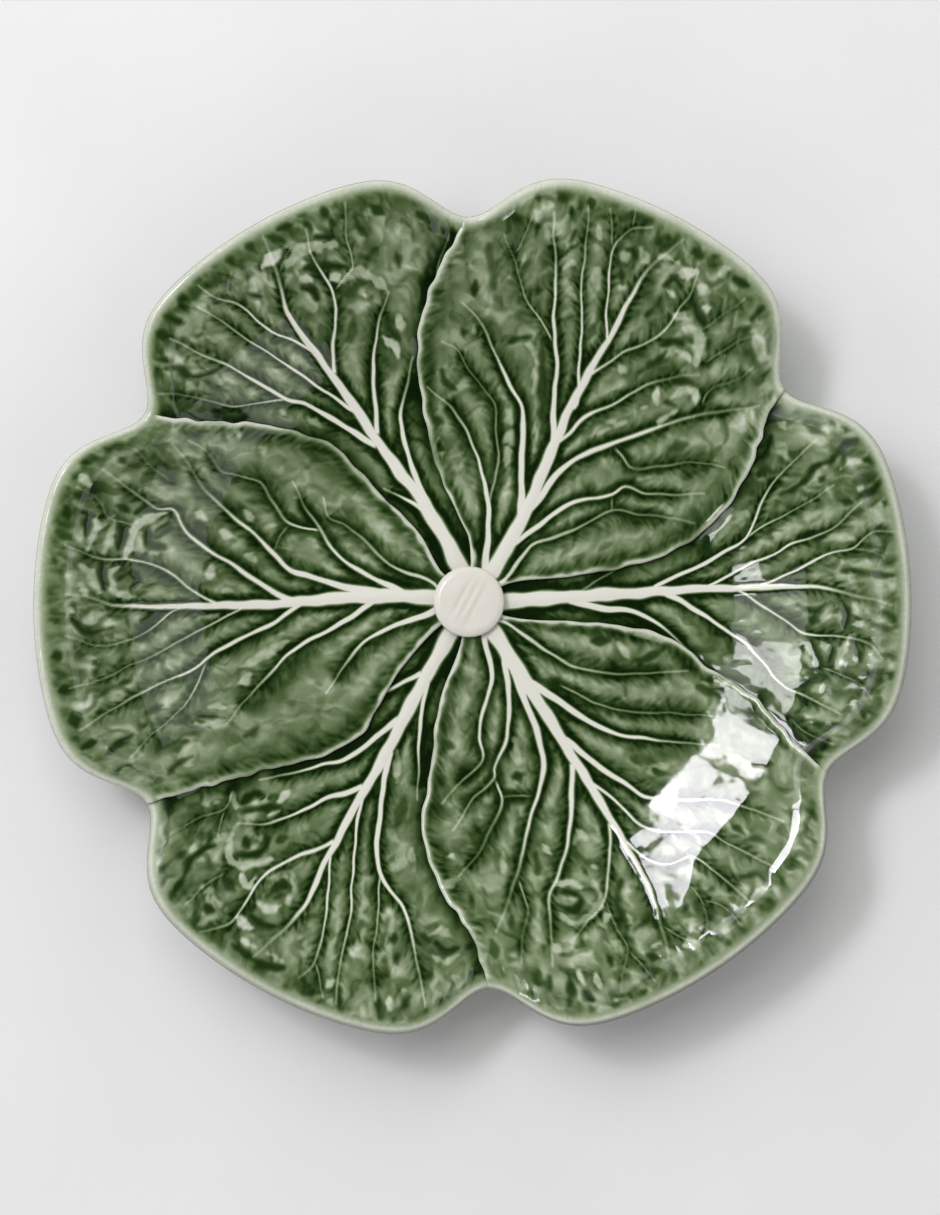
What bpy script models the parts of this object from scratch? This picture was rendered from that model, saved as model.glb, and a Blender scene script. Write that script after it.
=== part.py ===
"""Serving dish of six lapped cabbage leaves round a cut stem, on a turned foot ring.

Metres, +Z up. The dish stands on z = 0 with the middle of its outline on the Z axis.
Radii and points are in millimetres about the stem. Bearings are in degrees,
counter-clockwise from +X. Reach runs from 0 at a leaf's base to 1 at the rim.
"""

import math

import bmesh
import bpy
from mathutils import Vector

MM = 0.001

# Outline: round lobes a little off centre from the stem, with a soft notch where two leaves meet
RIM_RADIUS = 132.5
OUTLINE_OFFSET = 1.5
OUTLINE_OFFSET_BEARING = -45
NOTCH_WIDTH = 7.5
NOTCHES = [(34, 17.0), (90, 14.5), (150, 17.0), (212, 16.5), (273, 15.5), (334.5, 13.0)]

# Profile: a flat floor, an arc that turns up, a straight wall, then a flatter rim
FOOT_HEIGHT = 4.5
LEAF_THICKNESS = 4.5
FLOOR_RADIUS = 46.0
WALL_ARC_RADIUS = 115.0
WALL_ANGLE = math.radians(24)
ROLL_START = 14.0
ROLL_END = 8.0
ROLL_EASE = 0.25

# Laps: an over leaf stands proud, and its undercut edge sits on its neighbour's bevel
LAP_STEP = 1.5
LAP_BEVEL = 7.0
BEVEL_PER_RADIUS = 0.25
RIM_BEVEL = 1.5
BEVEL_PER_INSET = 0.2
JOINT_GAP = 0.7
LEAF_BASE_RADIUS = 7.5
LIP_BAND = 4.4
LIP_PINCH = 0.72

# Stem button and foot ring
STEM_RADIUS = 11.0
STEM_SHANK_RADIUS = 7.0
STEM_TOP = 13.6
STEM_CLEARANCE = 0.4
FOOT_OUTER_RADIUS = 68.0
FOOT_WIDTH = 5.5
FOOT_CLEARANCE = 0.35
TURNED_SIDES = 64

# Mesh density of a leaf and of a vein, and the angle past which an edge is sharp
LEAF_BANDS = 12
BAND_CROWDING = 1.2
LEAF_COLUMNS = 15
EDGE_CROWDING = 0.11
RIM_REACHES = [0.936, 0.966, 0.985, 0.996, 1.0]
MIDRIB_SIDES = 8
VEIN_SIDES = 6
SHARP_ANGLE = math.radians(40)
MERGE_DISTANCE = 0.01 * MM

# Half-widths of a vein at its base and tip, and how far it is sunk, as a share of its half-width
MIDRIB = (2.5, 0.7)
STRONG_VEIN = (1.5, 0.5)
SIDE_VEIN = (1.1, 0.4)
VEIN_SINK = 0.25

# Lap lines, base to rim, as (radius, bearing). Leaf n runs from lap n - 1 to lap n
LAPS = [
    [(13, 25), (26, 16), (40, 13), (59, 13), (76, 17), (94, 25), (107, 32), (115, 34)],
    [(12, 87), (20, 90.5), (26, 96.5), (40, 103), (66, 103), (82, 101), (93, 98), (117.5, 90)],
    [(13, 132), (24, 126), (40, 129), (64, 131), (73, 135), (91, 143), (105, 148), (115, 150)],
    [(14, 220), (30, 225), (50, 231), (59, 229), (77, 221), (90, 217), (103, 214), (115.5, 212)],
    [(13, 259), (26, 254), (34, 254), (52, 257), (70, 258), (82, 262), (100, 270), (116.5, 273)],
    [(12, 339), (28, 348), (45, 351), (62, 350), (75, 345), (90, 342), (106, 337), (119, 334.5)],
]

# Leaves counter-clockwise from the one that lies along +X, with their midribs and side veins
LEAVES = {
    "under_leaf_1": [
        (MIDRIB, [(11.5, 1), (31, 2), (51, 3), (76, 4), (96, 4), (110, 4), (122, 1)]),
        (SIDE_VEIN, [(58, 4), (68, 10), (77, 15), (86, 21), (90, 34), (98, 43)]),
        (SIDE_VEIN, [(86, 21), (94, 24), (102, 29), (109, 33)]),
        (SIDE_VEIN, [(76, 5), (92, 15), (111, 26), (116, 30)]),
        (SIDE_VEIN, [(92, 5), (110, 14), (124, 20)]),
        (STRONG_VEIN, [(29, 1), (41, -2), (51, -3), (59, -7)]),
        (STRONG_VEIN, [(63, 2), (76, -8), (89, -18), (94, -25), (110, -33)]),
        (SIDE_VEIN, [(83, 4), (95, -5), (110, -10), (121, -13)]),
    ],
    "over_leaf_1": [
        (MIDRIB, [(7, 10), (27, 42), (45, 75), (57, 97), (63, 107)]),
        (SIDE_VEIN, [(8, 13), (5, 25), (2, 40), (-4, 58), (-8, 63)]),
        (STRONG_VEIN, [(16, 28), (16, 59), (9, 76), (0, 88)]),
        (STRONG_VEIN, [(26, 44), (27, 75), (26, 107), (26, 115)]),
        (SIDE_VEIN, [(27, 78), (17, 93), (11, 109)]),
        (SIDE_VEIN, [(34, 58), (34, 98), (36, 115)]),
        (SIDE_VEIN, [(42, 74), (43, 104), (48, 112), (55, 113)]),
        (SIDE_VEIN, [(11, 13), (22, 20), (34, 23), (45, 28)]),
        (SIDE_VEIN, [(17, 24), (29, 30), (44, 34), (50, 40)]),
        (STRONG_VEIN, [(22, 34), (29, 41), (45, 49), (70, 58), (85, 60)]),
        (SIDE_VEIN, [(31, 50), (39, 58), (58, 68), (69, 69)]),
        (SIDE_VEIN, [(41, 70), (59, 82), (68, 97)]),
    ],
    "under_leaf_2": [
        (MIDRIB, [(-4, 11.2), (-14, 29), (-22, 43), (-36, 61), (-47, 77), (-56, 92), (-62, 108)]),
        (STRONG_VEIN, [(-12, 25), (-17, 46), (-20, 58), (-20, 68)]),
        (STRONG_VEIN, [(-28, 52), (-29, 62), (-29, 76), (-25, 94)]),
        (SIDE_VEIN, [(-41, 69), (-41, 93), (-48, 106), (-49, 112)]),
        (SIDE_VEIN, [(-41, 93), (-35, 102), (-37, 117)]),
        (SIDE_VEIN, [(-48, 78), (-56, 82), (-69, 90), (-81, 97)]),
        (STRONG_VEIN, [(-29, 51), (-40, 54), (-56, 62), (-73, 72), (-88, 79)]),
        (SIDE_VEIN, [(-56, 62), (-65, 61), (-73, 60), (-81, 62), (-91, 64)]),
    ],
    "over_leaf_2": [
        (MIDRIB, [(-11.5, 1), (-40, 2), (-58, 0), (-79, -1), (-101, -2), (-112, -3)]),
        (SIDE_VEIN, [(-13, 4), (-25, 12), (-37, 23), (-43, 27), (-45, 32)]),
        (SIDE_VEIN, [(-22, 3), (-33, 9), (-40, 14), (-46, 23), (-54, 37)]),
        (SIDE_VEIN, [(-46, 23), (-55, 24), (-66, 39)]),
        (STRONG_VEIN, [(-31, 2), (-49, 8), (-66, 21), (-84, 39), (-90, 48)]),
        (STRONG_VEIN, [(-56, 1), (-71, 12), (-90, 27), (-110, 40)]),
        (SIDE_VEIN, [(-77, 0), (-97, 11), (-113, 13), (-119, 16)]),
        (SIDE_VEIN, [(-13, -1), (-28, -10), (-36, -17), (-44, -28)]),
        (SIDE_VEIN, [(-30, 0), (-46, -10), (-62, -23), (-74, -37)]),
        (STRONG_VEIN, [(-50, 0), (-68, -10), (-93, -25), (-115, -37)]),
        (SIDE_VEIN, [(-80, -17), (-88, -33), (-96, -41)]),
        (SIDE_VEIN, [(-85, -2), (-98, -10), (-112, -14), (-120, -10)]),
    ],
    "under_leaf_3": [
        (MIDRIB, [(-6, -10), (-16, -29), (-27, -48), (-38, -68), (-49, -88), (-65, -106)]),
        (STRONG_VEIN, [(-20, -36), (-28, -41), (-36, -48), (-46, -53), (-62, -57)]),
        (STRONG_VEIN, [(-31, -56), (-44, -61), (-54, -66), (-70, -67)]),
        (SIDE_VEIN, [(-40, -73), (-55, -78), (-70, -97), (-81, -98)]),
        (SIDE_VEIN, [(-13, -26), (-15, -37), (-16, -61)]),
        (STRONG_VEIN, [(-24, -47), (-27, -69), (-28, -82), (-20, -95), (-14, -118)]),
        (SIDE_VEIN, [(-28, -82), (-28, -109), (-28, -122)]),
        (SIDE_VEIN, [(-33, -62), (-36, -91), (-40, -121)]),
        (SIDE_VEIN, [(-43, -78), (-44, -100), (-47, -110)]),
    ],
    "over_leaf_3": [
        (MIDRIB, [(6.5, -9.5), (20, -28), (32, -46), (42, -63), (51, -79), (58, -94), (60, -106)]),
        (SIDE_VEIN, [(9, -11), (18, -12), (33, -20), (55, -22), (67, -21)]),
        (STRONG_VEIN, [(20, -27), (34, -35), (47, -41), (76, -44)]),
        (STRONG_VEIN, [(32, -45), (49, -56), (63, -62), (79, -61), (95, -66)]),
        (SIDE_VEIN, [(41, -61), (55, -71), (74, -71), (92, -80)]),
        (SIDE_VEIN, [(50, -76), (60, -85), (75, -83), (83, -91)]),
        (SIDE_VEIN, [(8, -13), (7, -28), (3, -42), (2, -52), (-9, -63)]),
        (SIDE_VEIN, [(12, -18), (12, -40), (8, -53), (-5, -70)]),
        (STRONG_VEIN, [(16, -24), (23, -47), (18, -67), (14, -85), (9, -98)]),
        (SIDE_VEIN, [(33, -48), (30, -74), (24, -92), (25, -110)]),
        (SIDE_VEIN, [(44, -67), (41, -85), (46, -101)]),
    ],
}

# Colours of the glazes and the bare clay
GREEN_GLAZE = (0.085, 0.14, 0.055)
CREAM_GLAZE = (0.76, 0.74, 0.69)
BARE_CLAY = (0.69, 0.62, 0.52)
GLAZE_ROUGHNESS = 0.12
CLAY_ROUGHNESS = 0.7


def rim_radius(bearing):
    """Radius of the lobed outline at a bearing, from the stem."""
    lobe_radius = RIM_RADIUS + OUTLINE_OFFSET * math.cos(math.radians(bearing - OUTLINE_OFFSET_BEARING))
    notch_depth = 0.0
    for notch, depth in NOTCHES:
        away = (bearing - notch + 180) % 360 - 180
        notch_depth += depth * math.exp(-(away / NOTCH_WIDTH) ** 2)
    return lobe_radius - notch_depth


def wall_rise(radius):
    """Height of the dish's profile over its flat floor."""
    outward = max(radius - FLOOR_RADIUS, 0.0)
    arc_reach = WALL_ARC_RADIUS * math.sin(WALL_ANGLE)
    along_arc = min(outward, arc_reach)
    arc_rise = WALL_ARC_RADIUS - math.sqrt(WALL_ARC_RADIUS**2 - along_arc**2)
    return arc_rise + (outward - along_arc) * math.tan(WALL_ANGLE)


def rim_roll(inset):
    """How far the rim lies under the straight wall, where the slope eases towards the lip."""
    easing = min(max(ROLL_START - inset, 0.0), ROLL_START - ROLL_END)
    eased = max(ROLL_END - inset, 0.0)
    return ROLL_EASE * (easing**2 / (2 * (ROLL_START - ROLL_END)) + eased)


def radius_at(reach, bearing):
    return LEAF_BASE_RADIUS + reach * (rim_radius(bearing) - LEAF_BASE_RADIUS)


def reach_at(radius, bearing):
    return (radius - LEAF_BASE_RADIUS) / (rim_radius(bearing) - LEAF_BASE_RADIUS)


def smooth_between(knots, x):
    """Value at x of a smooth curve through (x, value) knots, level beyond the first and last."""
    if x <= knots[0][0]:
        return knots[0][1]
    if x >= knots[-1][0]:
        return knots[-1][1]
    last = len(knots) - 1
    i = max(k for k in range(last) if knots[k][0] <= x)
    slopes = []
    for k in (i, i + 1):
        before = knots[max(k - 1, 0)]
        after = knots[min(k + 1, last)]
        slopes.append((after[1] - before[1]) / (after[0] - before[0]))
    (x0, y0), (x1, y1) = knots[i], knots[i + 1]
    span = x1 - x0
    s = (x - x0) / span
    ease = s * s * (3 - 2 * s)
    bend = s * (1 - s) * span * (slopes[0] * (1 - s) - slopes[1] * s)
    return y0 + (y1 - y0) * ease + bend


class Leaf:
    """One leaf between two lap lines. Across runs from 0 on its right to 1 on its left."""

    def __init__(self, index, over):
        self.over = over
        self.right = self.lap_knots(LAPS[index - 1])
        self.left = self.lap_knots(LAPS[index])
        if self.left[0][1] < self.right[0][1]:
            self.right = [(reach, bearing - 360) for reach, bearing in self.right]

    @staticmethod
    def lap_knots(lap):
        return [(reach_at(radius, bearing), bearing) for radius, bearing in lap]

    def edges(self, reach):
        """Bearings of the right and left lap lines at a reach."""
        return smooth_between(self.right, reach), smooth_between(self.left, reach)

    def side_offsets(self, reach, radius):
        """How far the top and the underside run out past the lap line, with the bevel between."""
        inset = (1 - reach) * RIM_RADIUS
        bevel = min(LAP_BEVEL, BEVEL_PER_RADIUS * radius, RIM_BEVEL + BEVEL_PER_INSET * inset)
        if self.over:
            return 0.0, -bevel
        tucked = bevel * LAP_STEP / (LEAF_THICKNESS + LAP_STEP)
        return tucked - JOINT_GAP, bevel - JOINT_GAP

    def top_height(self, across):
        """Height of the top over the underside. An over leaf is highest along its laps."""
        if not self.over:
            return LEAF_THICKNESS
        from_middle = 2 * across - 1
        return LEAF_THICKNESS + LAP_STEP * (0.5 + 0.5 * from_middle**2)

    def row(self, reach, on_top):
        """Points across the leaf at one reach, on its top or its underside."""
        right, left = self.edges(reach)
        side = 0 if on_top else 1
        right_radius = radius_at(reach, right)
        left_radius = radius_at(reach, left)
        right -= math.degrees(self.side_offsets(reach, right_radius)[side] / right_radius)
        left += math.degrees(self.side_offsets(reach, left_radius)[side] / left_radius)
        points = []
        for column in range(LEAF_COLUMNS):
            share = column / (LEAF_COLUMNS - 1)
            across = share - EDGE_CROWDING * math.sin(2 * math.pi * share)
            bearing = right + (left - right) * across
            thickness = self.top_height(across)
            pinch = lip_pinch((1 - reach) * rim_radius(bearing))
            height = thickness * (1 - pinch / 2) if on_top else thickness * pinch / 2
            points.append(surface_point(reach, bearing, height))
        return points

    def point_on_top(self, x, y):
        """Point of the leaf's top over a place in plan."""
        bearing = math.degrees(math.atan2(y, x))
        for turn in (-360, 0, 360):
            reach = reach_at(math.hypot(x, y), bearing + turn)
            right, left = self.edges(reach)
            if right < bearing + turn < left:
                across = (bearing + turn - right) / (left - right)
                return surface_point(reach, bearing + turn, self.top_height(across))
        raise ValueError(f"({x}, {y}) is off the leaf")


def lip_pinch(inset):
    """Share of the thickness that the rounded lip has lost, this far in from the rim."""
    if inset >= LIP_BAND:
        return 0.0
    along = 1 - inset / LIP_BAND
    return LIP_PINCH * (1 - math.sqrt(1 - along**2))


def surface_point(reach, bearing, height):
    """Point in metres, this high over the dish's underside."""
    radius = radius_at(reach, bearing)
    angle = math.radians(bearing)
    z = FOOT_HEIGHT + wall_rise(radius) - rim_roll(rim_radius(bearing) - radius) + height
    return Vector((radius * math.cos(angle), radius * math.sin(angle), z)) * MM


def glaze(name, colour, roughness):
    material = bpy.data.materials.new(name)
    material.use_nodes = True
    shader = material.node_tree.nodes["Principled BSDF"]
    shader.inputs["Base Color"].default_value = (*colour, 1.0)
    shader.inputs["Roughness"].default_value = roughness
    shader.inputs["Metallic"].default_value = 0.0
    material.diffuse_color = (*colour, 1.0)
    return material


def add_object(name, bm, parent, material=None):
    """Turn a bmesh into a named object of the dish."""
    mesh = bpy.data.meshes.new(name)
    bm.to_mesh(mesh)
    bm.free()
    obj = bpy.data.objects.new(name, mesh)
    obj.parent = parent
    bpy.context.scene.collection.objects.link(obj)
    if material:
        mesh.materials.append(material)
        mesh.shade_smooth()
        mesh.set_sharp_from_angle(angle=SHARP_ANGLE)
    return obj


def add_strip(bm, row, next_row):
    """Quads between two rows of vertices."""
    for i in range(len(row) - 1):
        bm.faces.new((row[i], row[i + 1], next_row[i + 1], next_row[i]))


def add_bevels(bm, tops, undersides):
    """One length of a leaf's two bevels, split along the diagonals that the mating bevels have."""
    for side in (0, -1):
        top, next_top = tops[0][side], tops[1][side]
        underside, next_underside = undersides[0][side], undersides[1][side]
        for corners in ((top, underside, next_underside), (top, next_underside, next_top)):
            bm.faces.new(corners if side == 0 else corners[::-1])


def leaf_blade(leaf):
    """Loft a leaf from base to rim, with a rounded lip."""
    bm = bmesh.new()
    wall_end = 1 - ROLL_START / RIM_RADIUS
    shares = [(band / LEAF_BANDS) ** BAND_CROWDING for band in range(LEAF_BANDS + 1)]
    reaches = [wall_end * share for share in shares] + RIM_REACHES
    tops = [[bm.verts.new(point) for point in leaf.row(reach, True)] for reach in reaches]
    undersides = [[bm.verts.new(point) for point in leaf.row(reach, False)] for reach in reaches]
    for band in range(len(reaches) - 1):
        add_strip(bm, tops[band + 1], tops[band])
        add_strip(bm, undersides[band], undersides[band + 1])
        add_bevels(bm, tops[band : band + 2], undersides[band : band + 2])
    add_strip(bm, tops[0], undersides[0])
    add_strip(bm, undersides[-1], tops[-1])
    return bm


def with_midpoints(path):
    """The path with a point added halfway along each span, on a smooth curve through its points."""
    ends = [path[0], *path, path[-1]]
    smooth_path = [path[0]]
    for before, start, end, after in zip(ends, ends[1:], ends[2:], ends[3:]):
        x, y = [(9 * (start[k] + end[k]) - before[k] - after[k]) / 16 for k in (0, 1)]
        smooth_path += [(x, y), end]
    return smooth_path


def add_vein(bm, leaf, widths, path):
    """A tapered vein laid along the leaf's top, most of it standing proud."""
    sides = MIDRIB_SIDES if widths == MIDRIB else VEIN_SIDES
    points = [leaf.point_on_top(x, y) for x, y in with_midpoints(path)]
    rings = []
    for i, point in enumerate(points):
        ahead = points[min(i + 1, len(points) - 1)] - points[max(i - 1, 0)]
        sideways = Vector((-ahead.y, ahead.x, 0)).normalized()
        upward = ahead.cross(sideways).normalized()
        base, tip = widths
        half_width = (base + (tip - base) * i / (len(points) - 1)) * MM
        centre = point - upward * half_width * VEIN_SINK
        ring = []
        for side in range(sides):
            turn = 2 * math.pi * side / sides
            outward = sideways * math.cos(turn) + upward * math.sin(turn)
            ring.append(bm.verts.new(centre + outward * half_width))
        rings.append(ring)
    for ring, next_ring in zip(rings, rings[1:]):
        add_strip(bm, ring + ring[:1], next_ring + next_ring[:1])
    bm.faces.new(rings[0][::-1])
    bm.faces.new(rings[-1])


def make_leaf(name, index, veins, dish):
    """A leaf blade with its veins joined to it."""
    leaf = Leaf(index, name.startswith("over"))
    colour = glaze(f"{name}_glaze", GREEN_GLAZE, GLAZE_ROUGHNESS)
    blade = add_object(name, leaf_blade(leaf), dish, colour)
    for number, (widths, path) in enumerate(veins):
        bm = bmesh.new()
        add_vein(bm, leaf, widths, path)
        vein = add_object(f"{name}_vein_{number}", bm, dish)
        vein.hide_render = True
        vein.display_type = "WIRE"
        join = blade.modifiers.new(f"vein {number}", "BOOLEAN")
        join.operation = "UNION"
        join.solver = "EXACT"
        join.object = vein


def turned_piece(name, profile, dish, material):
    """Turn a closed (radius, height) profile round the stem's axis. A point at radius 0 stays one point."""
    bm = bmesh.new()
    verts = [bm.verts.new((radius * MM, 0, height * MM)) for radius, height in profile]
    edges = [bm.edges.new(pair) for pair in zip(verts, verts[1:])]
    if profile[0][0] > 0:
        edges.append(bm.edges.new((verts[-1], verts[0])))
    bmesh.ops.spin(
        bm, geom=verts + edges, axis=(0, 0, 1), cent=(0, 0, 0),
        angle=2 * math.pi, steps=TURNED_SIDES, use_merge=True,
    )
    bmesh.ops.remove_doubles(bm, verts=bm.verts, dist=MERGE_DISTANCE)
    bmesh.ops.recalc_face_normals(bm, faces=bm.faces)
    add_object(name, bm, dish, material)


def rounded_corner(centre, radius, start, end, steps=4):
    """Points of an arc from one angle to another, for a turned profile."""
    points = []
    for step in range(steps + 1):
        angle = math.radians(start + (end - start) * step / steps)
        points.append((centre[0] + radius * math.cos(angle), centre[1] + radius * math.sin(angle)))
    return points


def make_stem_button(dish):
    """The cut stem: a low domed disc over the leaves' bases, on a shank that fills their hole."""
    edge_round = 1.3
    dome = 0.4
    disc_underside = FOOT_HEIGHT + LEAF_THICKNESS + LAP_STEP + STEM_CLEARANCE
    shoulder = (STEM_RADIUS - edge_round, STEM_TOP - dome - edge_round)
    profile = [(0, STEM_TOP), (STEM_RADIUS / 2, STEM_TOP - dome / 4)]
    profile += rounded_corner(shoulder, edge_round, 90, 0)
    profile += [(STEM_RADIUS, disc_underside), (STEM_SHANK_RADIUS, disc_underside)]
    profile += [(STEM_SHANK_RADIUS, FOOT_HEIGHT), (0, FOOT_HEIGHT)]
    turned_piece("stem_button", profile, dish, glaze("stem_glaze", CREAM_GLAZE, GLAZE_ROUGHNESS))


def make_foot_ring(dish):
    """A tapered ring with a rounded tread, seated under the leaves."""
    tread_round = 1.0
    taper = 0.6
    inner = FOOT_OUTER_RADIUS - FOOT_WIDTH
    profile = [
        (inner, FOOT_HEIGHT + wall_rise(inner) - FOOT_CLEARANCE),
        (FOOT_OUTER_RADIUS, FOOT_HEIGHT + wall_rise(FOOT_OUTER_RADIUS) - FOOT_CLEARANCE),
    ]
    profile += rounded_corner((FOOT_OUTER_RADIUS - taper - tread_round, tread_round), tread_round, 0, -90)
    profile += rounded_corner((inner + taper + tread_round, tread_round), tread_round, -90, -180)
    turned_piece("foot_ring", profile, dish, glaze("foot_clay", BARE_CLAY, CLAY_ROUGHNESS))


def outline_middle():
    """Middle of the outline's bounding box, from the stem."""
    turns = [math.radians(degrees) for degrees in range(360)]
    xs = [rim_radius(math.degrees(turn)) * math.cos(turn) for turn in turns]
    ys = [rim_radius(math.degrees(turn)) * math.sin(turn) for turn in turns]
    return (min(xs) + max(xs)) / 2, (min(ys) + max(ys)) / 2


def main():
    for obj in list(bpy.data.objects):
        bpy.data.objects.remove(obj)
    dish = bpy.data.objects.new("dish", None)
    bpy.context.scene.collection.objects.link(dish)
    middle_x, middle_y = outline_middle()
    dish.location = (-middle_x * MM, -middle_y * MM, 0)
    for index, (name, veins) in enumerate(LEAVES.items()):
        make_leaf(name, index, veins, dish)
    make_stem_button(dish)
    make_foot_ring(dish)


main()
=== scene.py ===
"""Looks of the cabbage-leaf dish: veined leaves under a pooled green glaze, a cut stem and a foot ring.

Lengths are millimetres about the stem until a mesh is made, and bearings are degrees,
counter-clockwise from +X. Reach runs from 0 at a leaf's base to 1 at the rim, across from 0 on a
leaf's right lap to 1 on its left, and inset is how far in from the rim a point lies. Thinness is
the glaze's: 0 in its deepest pool, 1 where the cream body shows. It also carries painted shade:
inside the rim on its shady side, along the lip's very edge, and in the stem's grooves and sides.

A grade is a value near the stem, what is added to it farther out, and the radii between which that
comes in. A grain is the size of an unevenness and the seed of its draw. A pair of radii, insets or
the like runs from where something is absent to where it is full. Limits are the least and the most.
"""

import math

import bpy
import numpy as np
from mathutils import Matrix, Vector


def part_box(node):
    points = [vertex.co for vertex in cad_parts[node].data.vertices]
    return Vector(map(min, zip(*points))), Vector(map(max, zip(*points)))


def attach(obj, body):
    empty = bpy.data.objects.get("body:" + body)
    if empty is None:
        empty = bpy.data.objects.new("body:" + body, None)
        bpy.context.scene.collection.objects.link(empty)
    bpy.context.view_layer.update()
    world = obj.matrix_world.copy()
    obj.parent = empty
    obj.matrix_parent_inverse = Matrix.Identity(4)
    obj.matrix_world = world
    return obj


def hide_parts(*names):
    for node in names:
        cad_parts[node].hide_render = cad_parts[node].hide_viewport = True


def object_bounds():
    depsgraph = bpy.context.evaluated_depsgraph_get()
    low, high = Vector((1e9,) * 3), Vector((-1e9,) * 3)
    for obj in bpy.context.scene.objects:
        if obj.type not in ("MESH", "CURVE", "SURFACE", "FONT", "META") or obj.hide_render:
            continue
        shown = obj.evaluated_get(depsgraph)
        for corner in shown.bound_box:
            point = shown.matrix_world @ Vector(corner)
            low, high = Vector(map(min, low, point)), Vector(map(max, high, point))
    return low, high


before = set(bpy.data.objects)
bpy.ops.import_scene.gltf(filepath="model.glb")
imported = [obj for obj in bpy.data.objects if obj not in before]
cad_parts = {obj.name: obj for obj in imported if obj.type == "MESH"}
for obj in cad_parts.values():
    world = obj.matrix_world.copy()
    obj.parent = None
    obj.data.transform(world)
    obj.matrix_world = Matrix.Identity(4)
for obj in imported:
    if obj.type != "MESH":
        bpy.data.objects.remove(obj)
cad_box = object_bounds()

MM = 0.001
SEED = 7
TINY = 1e-6
STEM_PLACE = sum(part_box("stem_button"), Vector()) / 2

# Outline and profile, as the solids have them
RIM_RADIUS = 132.5
RIM_INSET = 0.36
OUTLINE_OFFSET = 1.5
OUTLINE_OFFSET_BEARING = -45
NOTCH_WIDTH = 7.5
NOTCHES = [(34, 17.0), (90, 14.5), (150, 17.0), (212, 16.5), (273, 15.5), (334.5, 13.0)]
FOOT_HEIGHT = 4.5
LEAF_THICKNESS = 4.5
FLOOR_RADIUS = 46.0
WALL_ARC_RADIUS = 115.0
WALL_ANGLE = math.radians(24)
LEAF_BASE_RADIUS = 7.5
LAP_STEP = 1.5
LAP_BEVEL = 7.0
BEVEL_PER_RADIUS = 0.25
RIM_BEVEL = 1.5
BEVEL_PER_INSET = 0.2
JOINT_GAP = 0.15
LIP_BAND = 2.4
LIP_PINCH = 0.86
DEGREE_AT_RIM = 2.3

# Roll of the rim, where the wall's slope eases, wider across the dish from the lower right
ROLL_INSET = 9.0
ROLL_WIDTH = 0.8
ROLL_EASE = 0.356
FAR_ROLL = 4.5
FAR_ROLL_BEARINGS = (85, 115)
# Places where the roll is softer, as bearing, half-span in degrees and width
SOFT_ROLLS = [(-37, 5.5, 8.0), (-47.2, 0.6, 2.5), (-54.6, 1.0, 4.5), (-57.8, 0.7, 6.0), (-63, 0.5, 2.5)]
# How many half-spans off a soft roll ends, and the smooth glaze over it
SOFT_ROLL_FADE = (1.2, 0.8)
SMOOTH_FADE = (1.6, 1.0)

# Ribs across the rim, as height, stretch and grain, and the inset they lie at and how far they reach
RIB_HEIGHT = 0.15
RIB_STRETCH = 0.3
RIB_GRAIN = (3.0, 95)
RIB_BAND = (8.0, 4.0)

# Slight swell of the glaze over the wall, as radius and height, and its unevenness
WALL_SWELL = [(84, 0.0), (92, -0.06), (101.5, -0.27), (103.5, -0.285), (114, 0.0),
              (124, 0.27), (134, 0.3)]
SWELL_UNEVENNESS = 0.07
SWELL_GRAIN = (17.0, 90)
# How far the swell drifts outwards between two pairs of bearings
SWELL_DRIFT = 9.0
DRIFT_BEARINGS = ((-46, -57), (-90, -72))

# Place where the glaze has flowed level over the relief, and how much of the relief it takes up
LEVEL_GLAZE = dict(middle=(65, -68), half_length=30, half_width=15, bearing=-62)
LEVEL_VEINS = 0.75
LEVEL_DENTS = 0.85

# Dry glaze on the crease and on the lip beside some notches, as bearing, half-span, inset and reach
MATT_PLACES = [(-20, 65, 9.0, 1.8), (29, 9, 5.0, 7.0), (83, 6, 2.0, 3.5), (218, 9, 2.0, 5.0)]
MATT_FADE = (1.0, 0.7)
UNDERSIDE_MATT = 0.2

# Mesh density: fine on top, one row or column in six underneath
TOP_ROWS = 288
LIP_ROWS = 30
TOP_COLUMNS = 294
UNDERSIDE_STEP = 6
CREASE_ANGLE = math.radians(50)

# Lap lines, base to rim, as (radius, bearing). Leaf n runs from lap n - 1 to lap n
LAPS = [
    [(13, 25), (26, 16), (40, 13), (59, 13), (76, 17), (94, 25), (107, 32), (115, 34)],
    [(12, 87), (20, 90.5), (26, 96.5), (40, 103), (66, 103), (82, 101), (93, 98), (117.5, 90)],
    [(13, 132), (24, 126), (40, 129), (64, 131), (73, 135), (91, 143), (105, 148), (115, 150)],
    [(14, 220), (30, 225), (50, 231), (59, 229), (77, 221), (90, 217), (103, 214), (115.5, 212)],
    [(13, 259), (26, 254), (34, 254), (52, 257), (70, 258), (82, 262), (100, 270), (116.5, 273)],
    [(12, 339), (28, 348), (45, 351), (62, 350), (75, 345), (90, 342), (106, 337), (119, 334.5)],
]
# Slight waver of the lap lines, as its height, its waves' frequency and share, and where it comes in
LAP_WAVE = 0.2
LAP_WAVES = [(58, 1.0), (97, 0.6)]
LAP_WAVE_PHASE = 2.1
LAP_WAVE_REACHES = ((0.12, 0.3), (1.0, 0.9))

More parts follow.
